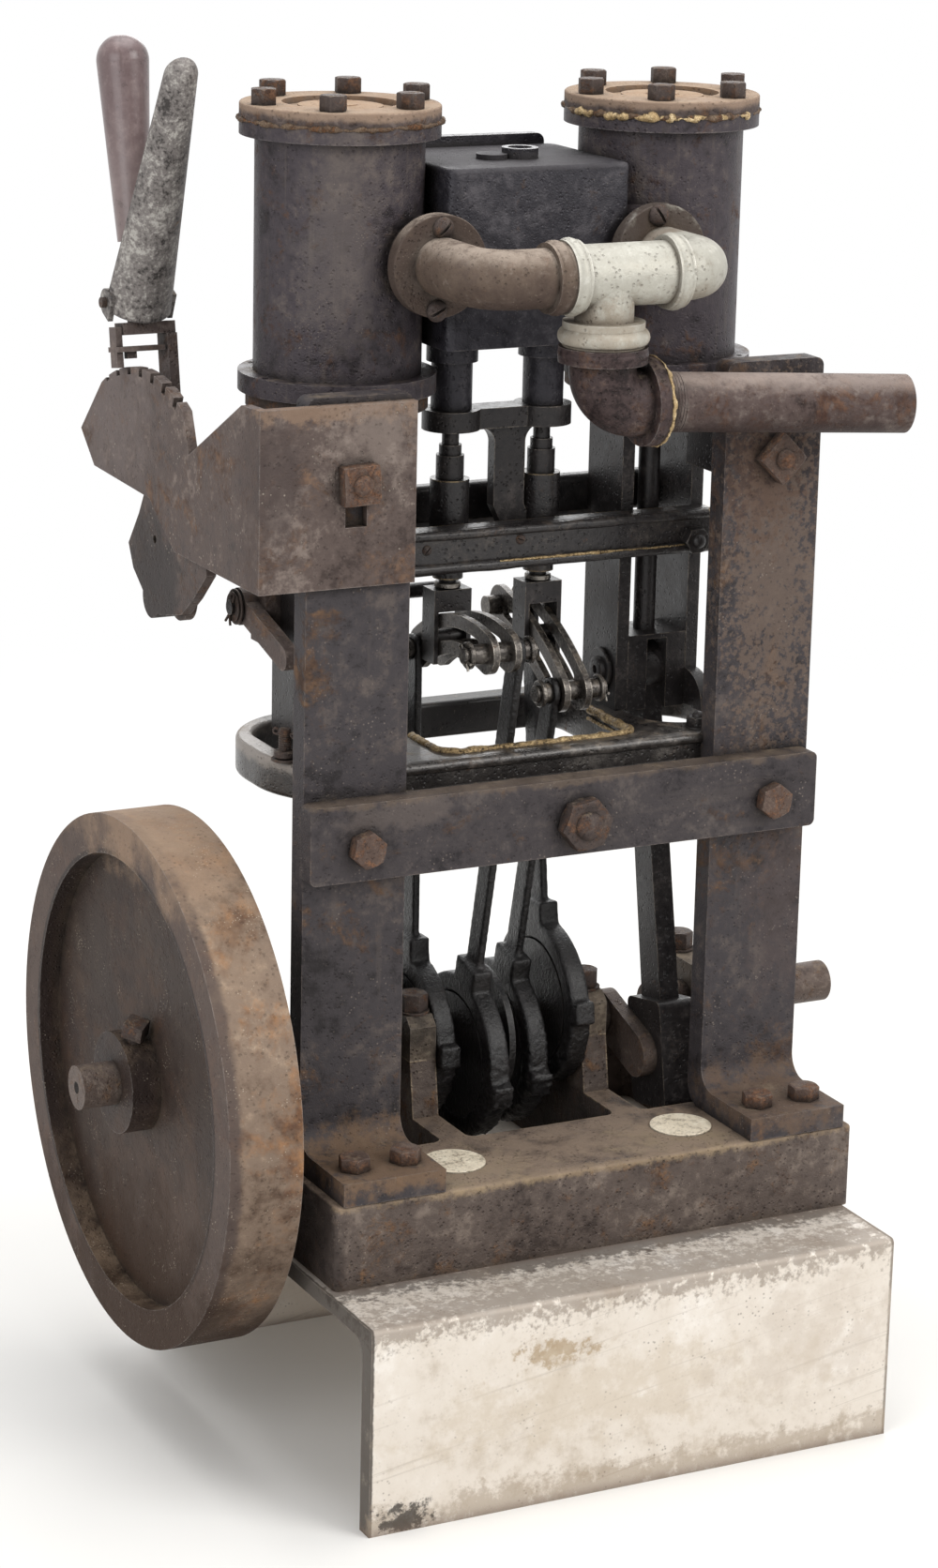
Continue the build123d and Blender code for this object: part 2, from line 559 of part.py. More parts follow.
# Guide beam: front rail, shelf and the bosses that guide the valve rods
with BuildPart() as beam:
    block(-beam_x, beam_x, beam_y0, beam_y1, beam_z0, beam_z1)
    fillet(beam.edges().filter_by(Axis.X).group_by(Axis.Y)[0], beam_edge)
    block(-shelf_x, shelf_x, beam_y1, shelf_y1, shelf_z0, shelf_z1)
    for x in (-valve_x, valve_x):
        along_z(x, valve_y, guide_boss_r, shelf_z1, guide_boss_z1)
        along_z(x, valve_y, under_boss_r, under_boss_z0, shelf_z0)
        along_z(x, valve_y, valve_rod_r + clear, under_boss_z0, guide_boss_z1, mode=Mode.SUBTRACT)
save(beam, "guide_beam")

with BuildPart() as rear_bar:
    block(-rear_bar_x, rear_bar_x, guide_y1, guide_y1 + rear_bar_t, rear_bar_z0, rear_bar_z1)
    fillet(rear_bar.edges().filter_by(Axis.X), rear_bar_edge)
save(rear_bar, "rear_bar")

# Where the slotted links end, and the height of a link's slot beside its valve rod
link_ends = {
    "left": ((left_front_y, left_front_z), (left_rear_y, left_rear_z)),
    "right": ((right_front_y, right_front_z), (right_rear_y, right_rear_z)),
}


def link_middle(name):
    front, rear = link_ends[name]
    return ((front[0] + rear[0]) / 2, (front[1] + rear[1]) / 2 + link_bow[name])


def slot_height(name, y):
    front, rear = link_ends[name]
    with BuildLine() as centre_line:
        ThreePointArc(front, link_middle(name), rear)
    arc = centre_line.edges()[0]
    middle = arc.arc_center
    return middle.Y + math.sqrt(arc.radius**2 - (y - middle.X) ** 2)


# Valve rods with their sleeves, each with a fork that takes a slotted link
for name, side in (("left", -1), ("right", 1)):
    x = side * valve_x
    fork_in = fork_half_x - fork_cheek
    with BuildPart() as valve_rod:
        along_z(x, valve_y, valve_rod_r, fork_under, bridge_z1)
        along_z(x, valve_y, sleeve_r, guide_boss_z1, sleeve_z1)
        along_z(x, valve_y, collar_r, sleeve_z1, sleeve_z1 + collar_h)
        block(x - fork_half_x, x + fork_half_x, valve_y - fork_half_y, valve_y + fork_half_y, fork_z0, fork_z1)
        block(x - fork_in, x + fork_in, valve_y - fork_half_y, valve_y + fork_half_y, fork_z0, fork_under,
              mode=Mode.SUBTRACT)
        along_x(valve_y, slot_height(name, valve_y), fork_pin_r, x - fork_half_x, x + fork_half_x)
    keep(valve_rod, "valve_rods")

# Ring plate: an oval casting with an eye for the valve gear and one for each connecting rod
with BuildPart() as ring:
    with BuildSketch(Plane.XY.offset(ring_z0)):
        with Locations((0, (ring_y0 + ring_y1) / 2)):
            RectangleRounded(2 * ring_x, ring_y1 - ring_y0, ring_end_r)
        with Locations((0, (eye_y0 + eye_y1) / 2)):
            RectangleRounded(2 * eye_x, eye_y1 - eye_y0, eye_r, mode=Mode.SUBTRACT)
        for side in (-1, 1):
            with Locations((side * (loop_x0 + loop_x1) / 2, (loop_y0 + loop_y1) / 2)):
                RectangleRounded(loop_x1 - loop_x0, loop_y1 - loop_y0, loop_r, mode=Mode.SUBTRACT)
    extrude(amount=ring_z1 - ring_z0)
    fillet(ring.faces().filter_by(Plane.XY).edges(), ring_edge)
    # Boss in front that the crossbar's middle stud holds
    with BuildSketch(Plane.XZ):
        with Locations((stud_x, bar_bolt_z)):
            Circle(post_r)
        with Locations((stud_x, (bar_bolt_z + ring_z0 + ring_edge) / 2)):
            Rectangle(2 * post_r, ring_z0 + ring_edge - bar_bolt_z)
    extrude(amount=-(eye_y0 - ring_edge))
    along_y(stud_x, bar_bolt_z, stud_r, 0, over, mode=Mode.SUBTRACT)
save(ring, "ring_frame")

# Side frames: two guide plates for each crosshead, and an arm to the column
for name, side in (("left", -1), ("right", 1)):
    with BuildPart() as frame_in:
        block(side * guide_in_x0, side * guide_in_x1, guide_y0, guide_y1, ring_z1, guide_top)
    keep(frame_in, "inner_guides")
    with BuildPart() as frame_out:
        block(side * guide_out_x0, side * guide_out_x1, guide_y0, guide_y1, ring_z1, guide_top)
        block(side * arm_x0, side * guide_out_x1, col_t, guide_y0, arm_z0, arm_z1)
        block(side * arm_x0, side * arm_x1, col_t, col_t + arm_pad_t, arm_z0, arm_z1)
        with BuildSketch(Plane.YZ.offset(side * (guide_out_x0 + guide_out_x1) / 2 - guide_t / 2)):
            with BuildLine():
                Line((guide_y0, ring_z1 + flare), (guide_y0, ring_z1))
                Line((guide_y0, ring_z1), (guide_y0 - flare, ring_z1))
                RadiusArc((guide_y0 - flare, ring_z1), (guide_y0, ring_z1 + flare), flare)
            make_face()
        extrude(amount=guide_t)
    keep(frame_out, "outer_guides")

# Crankshaft: the right crank points forward and a little down, the left one a quarter turn on
crank_deg = {"right": right_angle_deg, "left": right_angle_deg - 90}
pin_at = {}
for name, deg in crank_deg.items():
    pin_at[name] = (crank_y + crank_r * math.cos(math.radians(deg)), crank_z + crank_r * math.sin(math.radians(deg)))
web_gap = big_w / 2 + clear
bear_end_x = outer_bear_x + bear_w / 2


def crank_web(x0, x1, centre):
    """A web with round ends between the shaft and one crank pin."""
    reach = Vector(centre[0] - crank_y, centre[1] - crank_z)
    turn = math.degrees(math.atan2(reach.Y, reach.X))
    middle = ((crank_y + centre[0]) / 2, (crank_z + centre[1]) / 2)
    with BuildSketch(Plane.YZ.offset(x0)) as profile:
        with Locations(Location((middle[0], middle[1]), turn)):
            SlotCenterToCenter(crank_r, 2 * web_half)
    extrude(profile.sketch, amount=x1 - x0)


with BuildPart() as crankshaft:
    spans = (
        (shaft_x0, -cyl_x - web_gap),
        (-cyl_x + web_gap, cyl_x - web_gap),
        (cyl_x + web_gap, bear_end_x),
    )
    for x0, x1 in spans:
        along_x(crank_y, crank_z, shaft_r, x0, x1)
    along_x(crank_y, crank_z, end_r, bear_end_x, shaft_x1)
    for name, side in (("left", -1), ("right", 1)):
        centre = pin_at[name]
        along_x(centre[0], centre[1], pin_r, side * cyl_x - web_gap, side * cyl_x + web_gap)
        crank_web(side * cyl_x - web_gap - web_t, side * cyl_x - web_gap, centre)
        crank_web(side * cyl_x + web_gap, side * cyl_x + web_gap + web_t, centre)
save(crankshaft, "crankshaft")

with BuildPart() as divider:
    along_x(crank_y, crank_z, disc_r, disc_x, disc_x + disc_w)
    along_x(crank_y, crank_z, shaft_r, disc_x, disc_x + disc_w, mode=Mode.SUBTRACT)
save(divider, "shaft_disc")

# Piston rods, crossheads and connecting rods
for name, side in (("left", -1), ("right", 1)):
    x = side * cyl_x
    pin_y, pin_z = pin_at[name]
    cross_z = pin_z + math.sqrt(rod_length**2 - (pin_y - cyl_y) ** 2)
    with BuildPart() as crosshead:
        along_z(x, cyl_y, piston_rod_r, cross_z + cross_h / 2, cyl_z0 + head_neck)
        with BuildSketch(Plane.XY.offset(cross_z - cross_h / 2)):
            with Locations((x, cyl_y)):
                Rectangle(cross_w, cross_d)
        extrude(amount=cross_h)
        # The fork that takes the eye of the connecting rod
        block(x - rod_w / 2 - clear, x + rod_w / 2 + clear, guide_y0, guide_y1,
              cross_z - cross_h / 2, cross_z + rod_eye_r + cross_gap, mode=Mode.SUBTRACT)
        along_x(cyl_y, cross_z, cross_pin_r, x - cross_w / 2, x + cross_w / 2)
    keep(crosshead, "crossheads")

    down = Vector(pin_y - cyl_y, pin_z - cross_z)
    rod_plane = Plane(origin=(x - rod_w / 2, cyl_y, cross_z), x_dir=(0, down.X, down.Y), z_dir=(1, 0, 0))
    with BuildPart() as rod:
        with BuildSketch(rod_plane):
            with BuildLine():
                Polyline(
                    (0, -rod_d_top / 2),
                    (rod_length, -rod_d_low / 2),
                    (rod_length, rod_d_low / 2),
                    (0, rod_d_top / 2),
                    close=True,
                )
            make_face()
            Circle(rod_eye_r)
            Circle(cross_pin_r + clear, mode=Mode.SUBTRACT)
        extrude(amount=rod_w)
        # Split big end with a brass in the middle
        with BuildSketch(rod_plane.offset(rod_w / 2 - big_w / 2)):
            with Locations((rod_length, 0)):
                RectangleRounded(big_h, big_d, big_round)
        extrude(amount=big_w)
        with BuildSketch(rod_plane.offset(rod_w / 2 - big_w / 2)):
            with Locations((rod_length, 0)):
                Circle(pin_r + clear)
        extrude(amount=big_w, mode=Mode.SUBTRACT)
    keep(rod, "connecting_rods")

# Slotted expansion links and the eccentric rods that rock them
for name, side in (("left", -1), ("right", 1)):
    x = side * valve_x
    front, rear = link_ends[name]
    middle = link_middle(name)
    with BuildPart() as link:
        for x0 in (x - link_gap / 2 - link_plate_t, x + link_gap / 2):
            with BuildSketch(Plane.YZ.offset(x0)):
                with BuildLine() as centre_line:
                    ThreePointArc(front, middle, rear)
                SlotArc(centre_line.edges()[0], 2 * link_half_h)
                SlotArc(centre_line.edges()[0].trim(link_slot_start, 1 - link_slot_start), link_slot, mode=Mode.SUBTRACT)
            extrude(amount=link_plate_t)
        for y, z in (front, rear):
            along_x(y, z, link_pin_r, x - link_pin_half, x + link_pin_half)
    keep(link, "expansion_links")

    # Forward and backward eccentrics, a sheave on the shaft inside each strap
    for gear, step, end in (("forward", -side, front), ("backward", side, rear)):
        xs = x + step * strap_dx
        lead = math.radians(crank_deg[name] + (ecc_lead if gear == "forward" else -ecc_lead))
        ey, ez = crank_y + ecc_throw * math.cos(lead), crank_z + ecc_throw * math.sin(lead)
        with BuildPart() as sheave:
            along_x(ey, ez, sheave_r, xs - strap_w / 2, xs + strap_w / 2)
            along_x(crank_y, crank_z, shaft_r, xs - strap_w / 2, xs + strap_w / 2, mode=Mode.SUBTRACT)
        keep(sheave, "eccentric_sheaves")

        up = Vector(end[0] - ey, end[1] - ez)
        strap_plane = Plane(origin=(xs, ey, ez), x_dir=(0, up.X, up.Y), z_dir=(1, 0, 0))
        with BuildPart() as strap:
            with BuildSketch(strap_plane.offset(-strap_w / 2)):
                Circle(strap_r)
                # Bolted ears where the two halves of the strap meet
                Rectangle(strap_ear, 2 * strap_r + 2 * strap_ear_out)
                with Locations((strap_r, 0)):
                    Rectangle(2 * strap_lug_w, strap_lug_d)
                Circle(sheave_r + clear, mode=Mode.SUBTRACT)
            extrude(amount=strap_w)
            with BuildSketch(strap_plane.offset(-ecc_rod_w / 2)):
                with Locations(((up.length + strap_r) / 2, 0)):
                    Rectangle(up.length - strap_r, ecc_rod_d)
                with Locations((up.length, 0)):
                    Circle(link_boss_r)
                    Circle(link_pin_r + clear, mode=Mode.SUBTRACT)
            extrude(amount=ecc_rod_w)
        keep(strap, "eccentric_rods_" + gear)

# Reversing cross shaft carried by a lug on the left outer guide
with BuildPart() as rev_shaft:
    along_x(rev_y, rev_z, rev_r, rev_x0, rev_x1)
    with BuildSketch(Plane.YZ.offset(rev_x1 - rev_arm_t)):
        with Locations((rev_y, rev_z)):
            Circle(rev_head)
        with Locations((rev_y, rev_z + rev_arm_len / 2)):
            Rectangle(rev_arm_t, rev_arm_len)
    extrude(amount=rev_arm_t)
save(rev_shaft, "reversing_shaft")

with BuildPart() as lug:
    block(lug_x0 + lug_arm_t, -guide_out_x1, guide_y1 - lug_r, rev_y, rev_z - lug_drop, rev_z + lug_r)
    along_x(rev_y, rev_z, lug_r, lug_x0, -guide_out_x1)
    # Arm that reaches forward from the shaft's end
    reach = Vector(lug_tip_y - rev_y, lug_tip_z - rev_z)
    with BuildSketch(Plane.YZ.offset(lug_x0)):
        with Locations(Location(((rev_y + lug_tip_y) / 2, (rev_z + lug_tip_z) / 2), math.degrees(math.atan2(reach.Y, reach.X)))):
            SlotCenterToCenter(reach.length, lug_arm_w)
    extrude(amount=lug_arm_t)
    along_x(rev_y, rev_z, rev_r + clear, lug_x0, -guide_out_x1, mode=Mode.SUBTRACT)
save(lug, "shaft_lug")

# Flywheel: a rim and a thin disc round a hub, open to the outside
with BuildPart() as wheel:
    with BuildSketch(Plane.XZ.offset(-crank_y)):
        with BuildLine():
            Polyline(
                (hub_x0, crank_z + shaft_r),
                (hub_x0, crank_z + hub_r),
                (wheel_disc_x0, crank_z + hub_r),
                (wheel_disc_x0, crank_z + wheel_in_r),
                (wheel_x0, crank_z + wheel_in_r),
                (wheel_x0, crank_z + wheel_r),
                (wheel_x1, crank_z + wheel_r),
                (wheel_x1, crank_z + wheel_in_r),
                (wheel_disc_x1, crank_z + wheel_in_r),
                (wheel_disc_x1, crank_z + hub_r),
                (hub_x1, crank_z + hub_r),
                (hub_x1, crank_z + shaft_r),
                close=True,
            )
        make_face()
    revolve(axis=Axis((0, crank_y, crank_z), (1, 0, 0)))
save(wheel, "flywheel")

# Lever bracket: a plate on the left column that folds back into a notched quadrant
quad_h = plate_z1 - plate_z0


def on_quad(share):
    return (plate_y + share[0] * quad_reach, plate_z0 + share[1] * quad_h)


with BuildPart() as bracket:
    block(plate_x0, plate_x1, plate_y, 0, plate_z0, plate_z1)
    with BuildSketch(Plane.YZ.offset(plate_x0)):
        with BuildLine():
            Polyline(*[on_quad(share) for share in quad_shares])
            ThreePointArc(on_quad(quad_shares[-1]), on_quad(quad_top_share), on_quad(quad_back_shares[0]))
            Polyline(*[on_quad(share) for share in quad_back_shares])
            Polyline(on_quad(quad_back_shares[-1]), (plate_y, plate_z0), (plate_y, plate_z1))
        make_face()
    extrude(amount=plate_t)
    with BuildSketch(Plane.XZ.offset(-plate_y)):
        with Locations((-plate_nut_x, (slot_z0 + slot_z1) / 2)):
            Rectangle(slot_w, slot_z1 - slot_z0)
    extrude(amount=plate_t + over, both=True, mode=Mode.SUBTRACT)
    # Notches for the catch along the curved top
    for step in range(notch_count):
        angle = math.radians(notch_first + step * notch_step)
        tip = (pivot_y + notch_r * math.sin(angle), pivot_z + notch_r * math.cos(angle))
        with BuildSketch(Plane.YZ.offset(plate_x0)):
            with Locations(Location(tip, -math.degrees(angle))):
                Rectangle(notch_w, 2 * notch_deep)
        extrude(amount=plate_t, mode=Mode.SUBTRACT)
    # Hanger that carries the lever's pivot
    with BuildSketch(Plane.YZ.offset(plate_x0 + plate_t)):
        with BuildLine():
            Polyline(*[on_quad(share) for share in hanger_shares], close=True)
        make_face()
        with Locations((pivot_y, pivot_z)):
            Circle(hanger_r)
    extrude(amount=hanger_t)
    hanger_x = plate_x0 + plate_t + hanger_t
    along_x(hanger_boss_y, hanger_boss_z, hanger_boss_r, hanger_x, hanger_x + hanger_boss_t)
    along_x(key_y, key_z, key_r, plate_x0 + plate_t, hanger_x, mode=Mode.SUBTRACT)
    along_x(pivot_y, pivot_z, hanger_r, hanger_x, lever_x0 - clear)
    along_x(pivot_y, pivot_z, pivot_r, plate_x0 + plate_t, lever_x1)
save(bracket, "lever_bracket")

with BuildPart() as top_nuts:
    hex_y(-plate_nut_x, plate_nut_z, plate_nut_r, plate_y - nut_h, plate_y, sides=4, turn=45)
    along_y(-plate_nut_x, plate_nut_z, stud_r, plate_y - nut_h - stud_r, plate_y)
    hex_y(right_nut_x, right_nut_z, plate_nut_r, -nut_h, 0, sides=4)
    along_y(right_nut_x, right_nut_z, stud_r, -nut_h - stud_r, 0)
save(top_nuts, "column_nuts")

# Reversing lever, drawn upright on its pivot and leaned back at the end
lean = Plane(origin=(0, pivot_y, pivot_z), x_dir=(1, 0, 0), z_dir=(0, math.sin(math.radians(lean_deg)), math.cos(math.radians(lean_deg))))
side_on = Plane(origin=lean.origin, x_dir=lean.y_dir, z_dir=(1, 0, 0))
with BuildPart() as lever:
    # Leg behind the quadrant
    with BuildSketch(side_on.offset(lever_x0)):
        Circle(lever_boss_r)
        with Locations((0, yoke_up0 / 2)):
            Rectangle(lever_w, yoke_up0)
        Circle(pivot_r + clear, mode=Mode.SUBTRACT)
    extrude(amount=lever_x1 - lever_x0)
    # Yoke over the quadrant, then the neck under the grip
    with BuildSketch(lean.offset(yoke_up0)):
        with Locations(((yoke_x0 + lever_x1) / 2, (yoke_front + yoke_back) / 2)):
            Rectangle(lever_x1 - yoke_x0, yoke_back - yoke_front)
    extrude(amount=yoke_up1 - yoke_up0)
    with BuildSketch(side_on.offset(neck_x0)):
        with Locations((0, (yoke_up1 + grip_z0) / 2)):
            Rectangle(lever_w, grip_z0 - yoke_up1)
        with Locations((0, trig_pin_up)):
            Circle(trig_pin_r + clear, mode=Mode.SUBTRACT)
    extrude(amount=neck_x1 - neck_x0)
save(lever, "reversing_lever")

with BuildPart() as grip:
    with BuildSketch(Plane(origin=lean.origin, x_dir=(1, 0, 0), z_dir=-lean.y_dir)):
        with BuildLine():
            Polyline((grip_x, grip_z0), (grip_x + grip_r0, grip_z0), (grip_x + grip_r1, grip_z1 - grip_r1))
            ThreePointArc(
                (grip_x + grip_r1, grip_z1 - grip_r1),
                (grip_x + grip_r1 * math.sin(math.radians(45)), grip_z1 - grip_r1 + grip_r1 * math.cos(math.radians(45))),
                (grip_x, grip_z1),
            )
            Line((grip_x, grip_z1), (grip_x, grip_z0))
        make_face()
    revolve(axis=Axis(lean.from_local_coords((grip_x, 0, 0)), lean.z_dir))
save(grip, "lever_grip")

# Trigger: a tapering half-round channel in front of the grip, pinned low on the lever
trig_pin = lean.from_local_coords(Vector(0, 0, trig_pin_up))
trig_lean = math.radians(-trig_lean_deg)
trig = Plane(origin=(grip_x, trig_pin.Y, trig_pin.Z), x_dir=(1, 0, 0), z_dir=(0, math.sin(trig_lean), math.cos(trig_lean)))
cheek_plane = Plane(origin=trig.origin, x_dir=trig.y_dir, z_dir=(1, 0, 0))
with BuildPart() as trigger:
    for r_low, r_high, mode in ((trig_r0, trig_r1, Mode.ADD), (trig_r0 - trig_wall, trig_r1 - trig_wall, Mode.SUBTRACT)):
        with BuildSketch(trig.offset(-trig_drop)):
            Circle(r_low)
        with BuildSketch(trig.offset(trig_len)):
            Circle(r_high)
        loft(mode=mode)
        with Locations(trig.from_local_coords(Vector(0, 0, trig_len))):
            Sphere(r_high, mode=mode)
    # Open towards the grip
    with BuildSketch(trig.offset(-trig_drop)):
        with Locations((0, trig_r0)):
            Rectangle(2 * trig_r0 + 2 * over, 2 * trig_r0)
    extrude(amount=trig_len + trig_drop + trig_r0, mode=Mode.SUBTRACT)
    # Cheeks that reach back to the pin
    for x in (-trig_r0, trig_r0 - trig_wall):
        with BuildSketch(cheek_plane.offset(x)):
            Circle(trig_cheek)
            with Locations((-trig_cheek / 2, 0)):
                Rectangle(trig_cheek, 2 * trig_cheek)
        extrude(amount=trig_wall)
    along_x(trig_pin.Y, trig_pin.Z, trig_pin_r + clear, grip_x - 2 * trig_r0, grip_x + 2 * trig_r0, mode=Mode.SUBTRACT)
save(trigger, "latch_trigger")

with BuildPart() as trigger_pin:
    along_x(trig_pin.Y, trig_pin.Z, trig_pin_r, grip_x - trig_r0 - trig_wall, grip_x + trig_r0)
save(trigger_pin, "trigger_pin")

# Catch: a plate under the yoke with a tooth for the notches, drawn lifted clear of the quadrant, and a strap outside
catch_up = notch_r + catch_gap + tooth_h
with BuildPart() as catch:
    with BuildSketch(lean.offset(catch_up)):
        with Locations(((catch_x0 + catch_x1) / 2, (catch_front + catch_back) / 2)):
            Rectangle(catch_x1 - catch_x0, catch_back - catch_front)
    extrude(amount=catch_t)
    with BuildSketch(lean.offset(notch_r + catch_gap)):
        with Locations((plate_x0 + plate_t / 2, 0)):
            Rectangle(plate_t, notch_w - 2 * clear)
    extrude(amount=tooth_h)
    with BuildSketch(lean.offset(notch_r)):
        with Locations((catch_x0 + strap_t / 2, (strap_front + strap_back) / 2)):
            Rectangle(strap_t, strap_back - strap_front)
    extrude(amount=strap_up - notch_r)
save(catch, "latch_catch")

save_like_pieces()
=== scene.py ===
import math

import bmesh
import bpy
from mathutils import Matrix, Vector


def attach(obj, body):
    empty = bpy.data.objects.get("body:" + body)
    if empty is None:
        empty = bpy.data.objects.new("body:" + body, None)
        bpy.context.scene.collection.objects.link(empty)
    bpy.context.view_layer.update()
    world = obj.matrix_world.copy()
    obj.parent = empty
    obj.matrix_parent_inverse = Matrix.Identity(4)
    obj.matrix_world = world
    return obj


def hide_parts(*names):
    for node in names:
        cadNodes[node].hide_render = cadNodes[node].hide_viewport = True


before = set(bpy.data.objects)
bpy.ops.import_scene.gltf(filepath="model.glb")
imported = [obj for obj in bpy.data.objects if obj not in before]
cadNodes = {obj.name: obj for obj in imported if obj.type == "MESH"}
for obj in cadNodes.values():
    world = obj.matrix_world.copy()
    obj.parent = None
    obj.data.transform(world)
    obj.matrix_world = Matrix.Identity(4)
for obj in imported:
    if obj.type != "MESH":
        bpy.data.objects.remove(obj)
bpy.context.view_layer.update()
print("frame loaded:", len(cadNodes), "nodes")

# helpers that wire nodes; made gives a node's first output


def wire(tree, kind, feeds=None, **settings):
    node = tree.nodes.new(kind)
    for key, value in settings.items():
        setattr(node, key, value)
    for socket, value in (feeds or {}).items():
        if isinstance(value, bpy.types.NodeSocket):
            tree.links.new(value, node.inputs[socket])
        else:
            node.inputs[socket].default_value = value
    return node


def made(tree, kind, feeds=None, **settings):
    return wire(tree, kind, feeds, **settings).outputs[0]


def sums(tree, operation, first, second=0.0, clamp=False):
    return made(tree, "ShaderNodeMath", {0: first, 1: second}, operation=operation, use_clamp=clamp)


def times(tree, first, second, clamp=False):
    return sums(tree, "MULTIPLY", first, second, clamp)


def plus(tree, first, second, clamp=False):
    return sums(tree, "ADD", first, second, clamp)


def minus(tree, first, second):
    return sums(tree, "SUBTRACT", first, second)


def vectorMath(tree, operation, first, second=None):
    feeds = {0: first} if second is None else {0: first, 1: second}
    node = wire(tree, "ShaderNodeVectorMath", feeds, operation=operation)
    return node.outputs["Value" if operation in ("LENGTH", "DOT_PRODUCT") else "Vector"]


def blendColour(tree, factor, under, over):
    return wire(tree, "ShaderNodeMix", {0: factor, 6: under, 7: over}, data_type="RGBA").outputs[2]


def blendValue(tree, factor, under, over):
    return made(tree, "ShaderNodeMix", {0: factor, 2: under, 3: over}, data_type="FLOAT")


def ramp(tree, value, low, high, outLow=0.0, outHigh=1.0):
    feeds = {0: value, 1: low, 2: high, 3: outLow, 4: outHigh}
    return made(tree, "ShaderNodeMapRange", feeds, interpolation_type="SMOOTHSTEP")


def noise(tree, vector, scale, detail=3.0, rough=0.55, warp=0.0):
    feeds = {"Vector": vector, "Scale": scale, "Detail": detail, "Roughness": rough, "Distortion": warp}
    return made(tree, "ShaderNodeTexNoise", feeds)


def addObject(name, data):
    thing = bpy.data.objects.new(name, data)
    bpy.context.scene.collection.objects.link(thing)
    return thing


# the picture: camera, floor and lamps

picture = {
    "height": 1672,        # pixels
    "focalPixels": 4344.09,
    "filmHeight": 36.0,
    "place": (-1.06142, -2.05217, 1.02401),
    "yaw": 27.05,       # degrees from +Y towards +X
    "pitch": -15.8,
    "roll": 1.32,
    "nearest": 0.05,
    "farthest": 200.0,
}

studio = {
    "floorColour": (0.8, 0.79, 0.77, 1.0),
    "floorRough": 0.9,
    "floorSheen": 0.1,
    "floorHalfWidth": 30.0,
    "fadeFrom": 0.55,       # distance from the middle at which the floor starts to turn white
    "fadeTo": 1.9,
    "white": (1.0, 1.0, 1.0, 1.0),
    "skyLight": 0.62,
    "lamps": (
        # name, place, aimed at, width, height, watts, colour
        ("keyLamp", (1.6, -2.6, 2.3), (0.0, 0.0, 0.4), 1.8, 1.8, 62.0, (1.0, 0.985, 0.96)),
        ("fillLamp", (-2.6, -1.4, 1.5), (0.0, 0.0, 0.35), 2.0, 2.0, 34.0, (0.97, 0.985, 1.0)),
        ("topLamp", (0.1, 0.2, 2.8), (0.0, 0.0, 0.4), 2.2, 2.2, 44.0, (1.0, 1.0, 1.0)),
        ("backLamp", (1.2, 2.6, 1.9), (0.0, 0.0, 0.45), 1.6, 1.6, 26.0, (1.0, 1.0, 1.0)),
    ),
}


def setCamera(settings):
    yaw, pitch, roll = (math.radians(settings[key]) for key in ("yaw", "pitch", "roll"))
    ahead = Vector((math.sin(yaw) * math.cos(pitch), math.cos(yaw) * math.cos(pitch), math.sin(pitch)))
    side = Vector((math.cos(yaw), -math.sin(yaw), 0.0))
    above = side.cross(ahead)
    sideRolled = side * math.cos(roll) + above * math.sin(roll)
    aboveRolled = above * math.cos(roll) - side * math.sin(roll)
    data = bpy.data.cameras.new("photoCamera")
    data.sensor_fit = "VERTICAL"
    data.sensor_height = data.sensor_width = settings["filmHeight"]
    data.lens = settings["filmHeight"] * settings["focalPixels"] / settings["height"]
    data.clip_start, data.clip_end = settings["nearest"], settings["farthest"]
    camera = addObject("photoCamera", data)
    turn = Matrix((sideRolled, aboveRolled, -ahead)).transposed()
    camera.matrix_world = Matrix.Translation(settings["place"]) @ turn.to_4x4()
    bpy.context.scene.camera = camera


def seenRays(tree):
    path = wire(tree, "ShaderNodeLightPath").outputs
    direct = sums(tree, "MAXIMUM", path["Is Camera Ray"], path["Is Transmission Ray"])
    return sums(tree, "MAXIMUM", direct, path["Is Glossy Ray"])


def setFloor(settings):
    half = settings["floorHalfWidth"]
    mesh = bpy.data.meshes.new("paleFloor")
    corners = [(-half, -half, 0), (half, -half, 0), (half, half, 0), (-half, half, 0)]
    mesh.from_pydata(corners, [], [(0, 1, 2, 3)])
    floor = addObject("paleFloor", mesh)
    material = bpy.data.materials.new("paleFloor")
    material.use_nodes = True
    tree = material.node_tree
    tree.nodes.clear()
    matt = made(tree, "ShaderNodeBsdfPrincipled", {
        "Base Color": settings["floorColour"], "Roughness": settings["floorRough"],
        "Specular IOR Level": settings["floorSheen"]})
    spot = wire(tree, "ShaderNodeTexCoord").outputs["Object"]
    far = vectorMath(tree, "LENGTH", spot)
    share = times(tree, seenRays(tree), ramp(tree, far, settings["fadeFrom"], settings["fadeTo"]))
    blended = made(tree, "ShaderNodeMixShader", {0: share, 1: matt, 2: made(tree, "ShaderNodeEmission")})
    wire(tree, "ShaderNodeOutputMaterial", {"Surface": blended})
    mesh.materials.append(material)


def setStudio(settings):
    scene = bpy.context.scene
    scene.view_settings.view_transform = "Standard"
    setFloor(settings)
    world = bpy.data.worlds.new("softRoom")
    world.use_nodes = True
    scene.world = world
    tree = world.node_tree
    tree.nodes.clear()
    glow = made(tree, "ShaderNodeBackground", {"Color": settings["white"], "Strength": settings["skyLight"]})
    shown = made(tree, "ShaderNodeBackground", {"Color": settings["white"]})
    mixed = made(tree, "ShaderNodeMixShader", {0: seenRays(tree), 1: glow, 2: shown})
    wire(tree, "ShaderNodeOutputWorld", {"Surface": mixed})
    for name, place, aim, width, height, watts, colour in settings["lamps"]:
        data = bpy.data.lights.new(name, "AREA")
        data.shape = "RECTANGLE"
        data.size, data.size_y = width, height
        data.energy = watts
        data.color = colour
        lamp = addObject(name, data)
        lamp.location = place
        lamp.rotation_euler = (Vector(aim) - Vector(place)).to_track_quat("-Z", "Y").to_euler()


